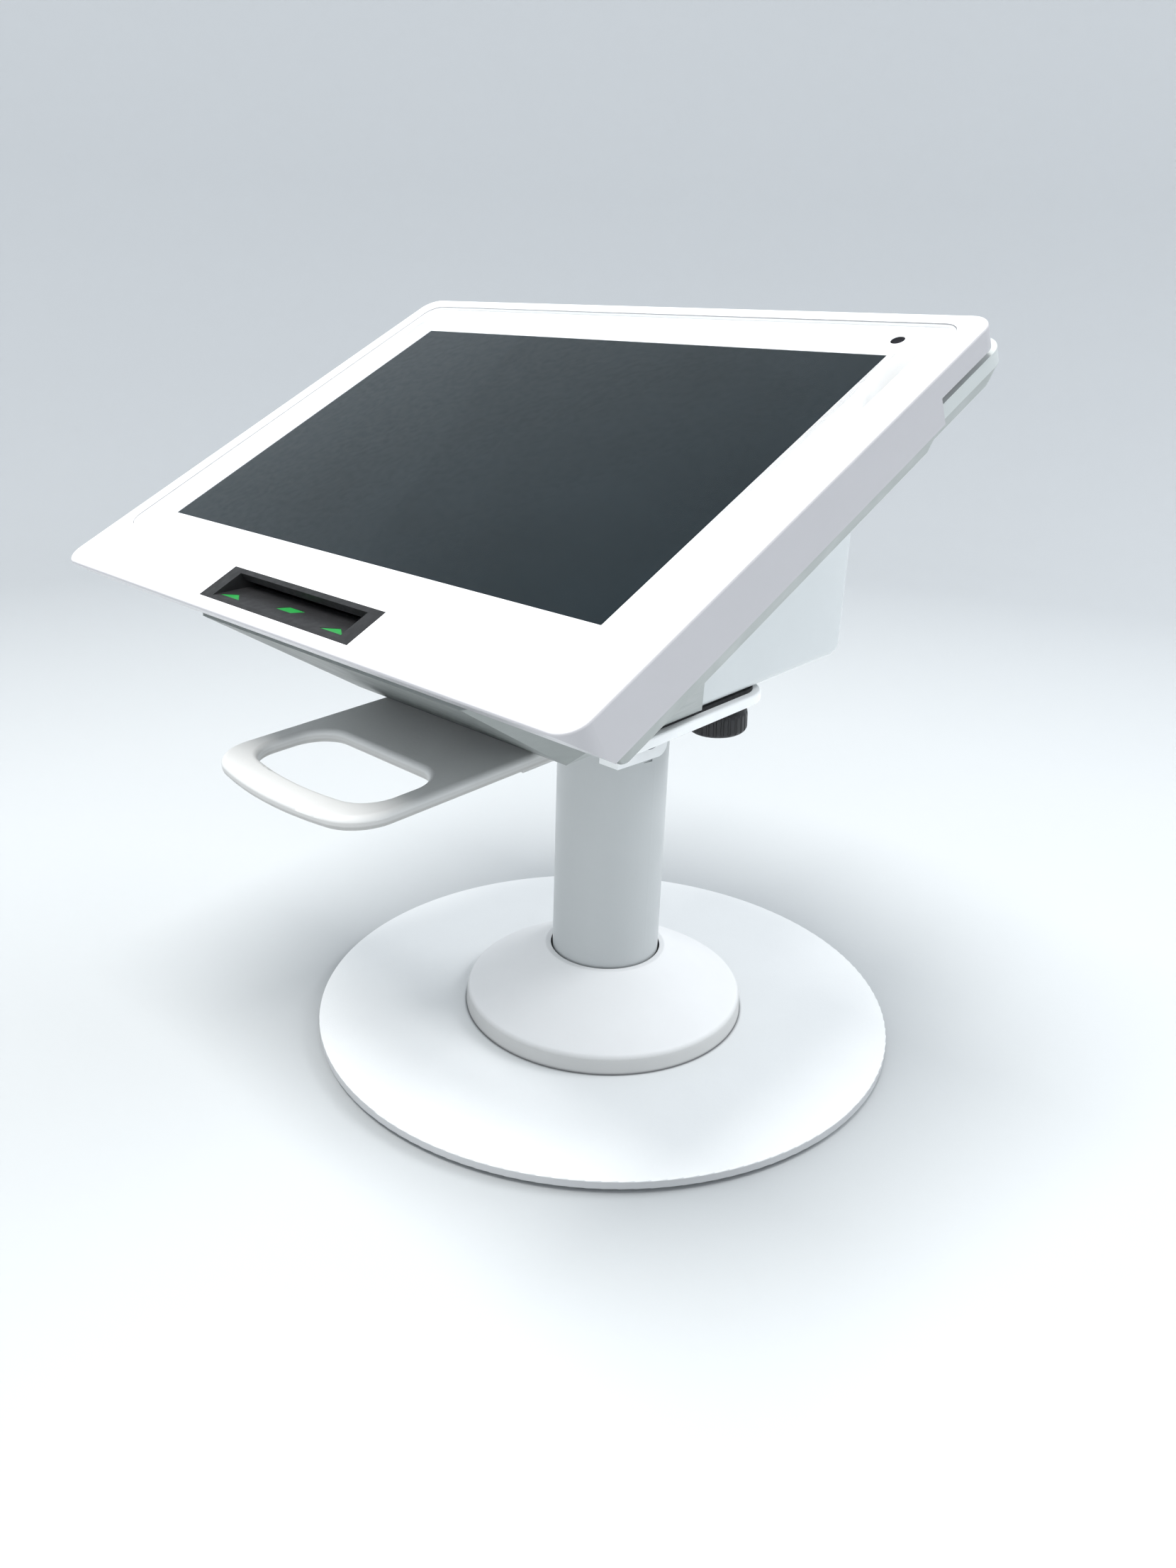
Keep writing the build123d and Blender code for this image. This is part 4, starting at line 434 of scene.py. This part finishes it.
def dress_terminal():
    dress(bezel_paint(), "front_bezel")
    dress(mask_ink(), "glass_mask")
    dress(cover_glass(), "cover_glass")
    dress(display(), "lcd_panel")
    dress(shell_plastic(), "rear_shell")
    dress(housing_plastic(), "printer_housing", "paper_door")
    dress(dark_plastic("slot_charcoal", (0.021, 0.021, 0.022), 0.5), "card_slot_frame")
    dress(dark_plastic("reader_black", (0.012, 0.012, 0.013), 0.5), "card_reader", "speaker")
    dress(dark_plastic("camera_black", (0.02, 0.018, 0.028), 0.15), "camera_module")
    dress(dark_plastic("key_grey", (0.30, 0.31, 0.32), 0.4), "power_button", "door_release_button")
    dress(card_light(), "card_lights")
    dress(circuit_board(), "main_board")
    dress(roll_paper(), "paper_roll")
    dress(cardboard(), "paper_core")
    dress(ceramic(), "print_strip")


def dress_stand():
    dress(powder_coat(), "mounting_tray", "tilt_yoke")
    dress(plate_coat(), "base_plate")
    dress(grip_coat(), "handle")
    dress(pole_paint(), "pole_tube")
    dress(cover_plastic(), "base_cover")
    dress(dark_plastic("knob_black", (0.010, 0.010, 0.012), 0.38), "thumb_knob_right", "thumb_knob_left")
    dress(dark_plastic("bolt_black_oxide", (0.012, 0.012, 0.014), 0.3), "tilt_bolt")


def dress_small_parts():
    across = (0.08, 1, 1)
    upright = (1, 1, 0.08)
    dress(rubber(), "base_pads", "foot_gasket", "platen_roller")
    dress(nylon(), "swivel_bush", "thrust_washers", "friction_discs", "platen_gear", "platen_bushes",
          "idler_gear")
    dress(cast_metal(), "swivel_housing", "pole_knuckle", "print_head")
    dress(brushed("steel_turned", (0.55, 0.56, 0.57), across), "platen_shaft", "motor_shaft",
          "door_hinge_pin", "tear_bar", "magstripe_head", "tilt_nut")
    dress(brushed("steel_screws", (0.55, 0.56, 0.57), upright), "plate_screws", "tray_screws",
          "shell_screws", "thumb_stud_right", "thumb_stud_left", "pole_foot")
    dress(brushed("zinc_sheet", (0.62, 0.63, 0.64), across, 0.38), "display_chassis", "stepper_motor",
          "head_rail", "shield_cans", "rear_connectors", "gear_plate")
    dress(brushed("brass_turned", (0.68, 0.48, 0.20), upright, 0.28), "foot_inserts", "motor_pinion")
    dress(brushed("contact_gold", (0.80, 0.58, 0.22), across, 0.2), "card_contacts")


# ---- Studio -------------------------------------------------------------------------------------------
def seen_directly(look, tone):
    """Multiplies the colour by a tone for the camera only, so the light it gives back is unchanged."""
    look.multiply_colour(look.node("ShaderNodeLightPath").outputs["Is Camera Ray"], tone)


def studio_look():
    """Paper sweep: white in the middle of the floor, greying with distance into the wall as painted
    shade for the light falling off.
    """
    look = Look("studio_paper")
    length = look.node("ShaderNodeVectorMath", operation="LENGTH")
    look.link(look.place, length.inputs[0])
    # painted shade: the colour greys with distance from the middle
    far = look.ranged(length.outputs["Value"], 0, 1, FADE_START, FADE_END)
    look.link(look.blend(far, FLOOR_WHITE, WALL_GREY), look.shader.inputs["Base Color"])
    seen_directly(look, SEEN_FLOOR_TONE)
    look.set(Roughness=0.85)
    look.bump(look.noise(0.004, detail=3.0), 0.00006)
    return look


def sweep_profile():
    """Radius and height of the backdrop, from the middle of the floor to the top of the wall."""
    profile = [(0.0, 0.0), (FLOOR_RADIUS * 0.5, 0.0), (FLOOR_RADIUS, 0.0)]
    for step in range(1, SWEEP_STEPS + 1):
        angle = math.radians(90 * step / SWEEP_STEPS)
        profile.append((FLOOR_RADIUS + SWEEP_RADIUS * math.sin(angle),
                        SWEEP_RADIUS * (1 - math.cos(angle))))
    profile.append((FLOOR_RADIUS + SWEEP_RADIUS, WALL_HEIGHT))
    return profile


def turned_mesh(profile):
    """The profile turned about the vertical; its first point is the middle."""
    vertices = [(0.0, 0.0, 0.0)]
    for radius, height in profile[1:]:
        for i in range(SWEEP_TURNS):
            angle = 2 * math.pi * i / SWEEP_TURNS
            vertices.append((radius * math.cos(angle), radius * math.sin(angle), height))
    faces = [(0, 1 + i, 1 + (i + 1) % SWEEP_TURNS) for i in range(SWEEP_TURNS)]
    for ring in range(len(profile) - 2):
        inner = 1 + ring * SWEEP_TURNS
        outer = inner + SWEEP_TURNS
        for i in range(SWEEP_TURNS):
            j = (i + 1) % SWEEP_TURNS
            faces.append((inner + i, outer + i, outer + j, inner + j))
    mesh = bpy.data.meshes.new("studio_sweep")
    mesh.from_pydata(vertices, [], faces)
    mesh.shade_smooth()
    return mesh


def sweep():
    """Floor that curves up into a round wall on all sides."""
    mesh = turned_mesh(sweep_profile())
    mesh.materials.append(studio_look().material)
    floor = bpy.data.objects.new("studio_sweep", mesh)
    bpy.context.scene.collection.objects.link(floor)


def area_light(name, place, size, power, colour):
    """A soft box that faces the middle of the terminal."""
    data = bpy.data.lights.new(name, "AREA")
    data.shape = "SQUARE"
    data.size = size
    data.energy = power
    data.color = colour
    lamp = bpy.data.objects.new(name, data)
    lamp.location = place
    target = (CAD_LOW + CAD_HIGH) / 2
    lamp.rotation_euler = (target - Vector(place)).to_track_quat("-Z", "Y").to_euler()
    lamp.visible_glossy = False
    bpy.context.scene.collection.objects.link(lamp)


def lights():
    world = bpy.data.worlds.new("studio_world")
    world.use_nodes = True
    sky = world.node_tree.nodes["Background"]
    sky.inputs["Color"].default_value = (*SKY_COLOUR, 1)
    sky.inputs["Strength"].default_value = SKY_STRENGTH
    bpy.context.scene.world = world
    area_light("top_box", **TOP_LIGHT)
    area_light("side_box", **SIDE_LIGHT)
    area_light("front_box", **FRONT_LIGHT)


def camera():
    azimuth = math.radians(CAMERA_AZIMUTH)
    elevation = math.radians(CAMERA_ELEVATION)
    back = Vector((
        math.sin(azimuth) * math.cos(elevation),
        -math.cos(azimuth) * math.cos(elevation),
        math.sin(elevation),
    ))
    level = Vector((math.cos(azimuth), math.sin(azimuth), 0))
    above = back.cross(level)
    roll = math.radians(CAMERA_ROLL)
    right = math.cos(roll) * level + math.sin(roll) * above
    up = math.cos(roll) * above - math.sin(roll) * level
    data = bpy.data.cameras.new("photo_camera")
    data.lens = CAMERA_LENS
    data.sensor_width = CAMERA_SENSOR
    data.clip_start = 0.01
    data.clip_end = 20
    eye = bpy.data.objects.new("photo_camera", data)
    turn = Matrix((right, up, back)).transposed().to_4x4()
    eye.matrix_world = Matrix.Translation(CAMERA_PLACE) @ turn
    bpy.context.scene.collection.objects.link(eye)
    bpy.context.scene.camera = eye


dress_terminal()
dress_stand()
dress_small_parts()
sweep()
lights()
camera()
bpy.context.scene.view_settings.view_transform = "Standard"
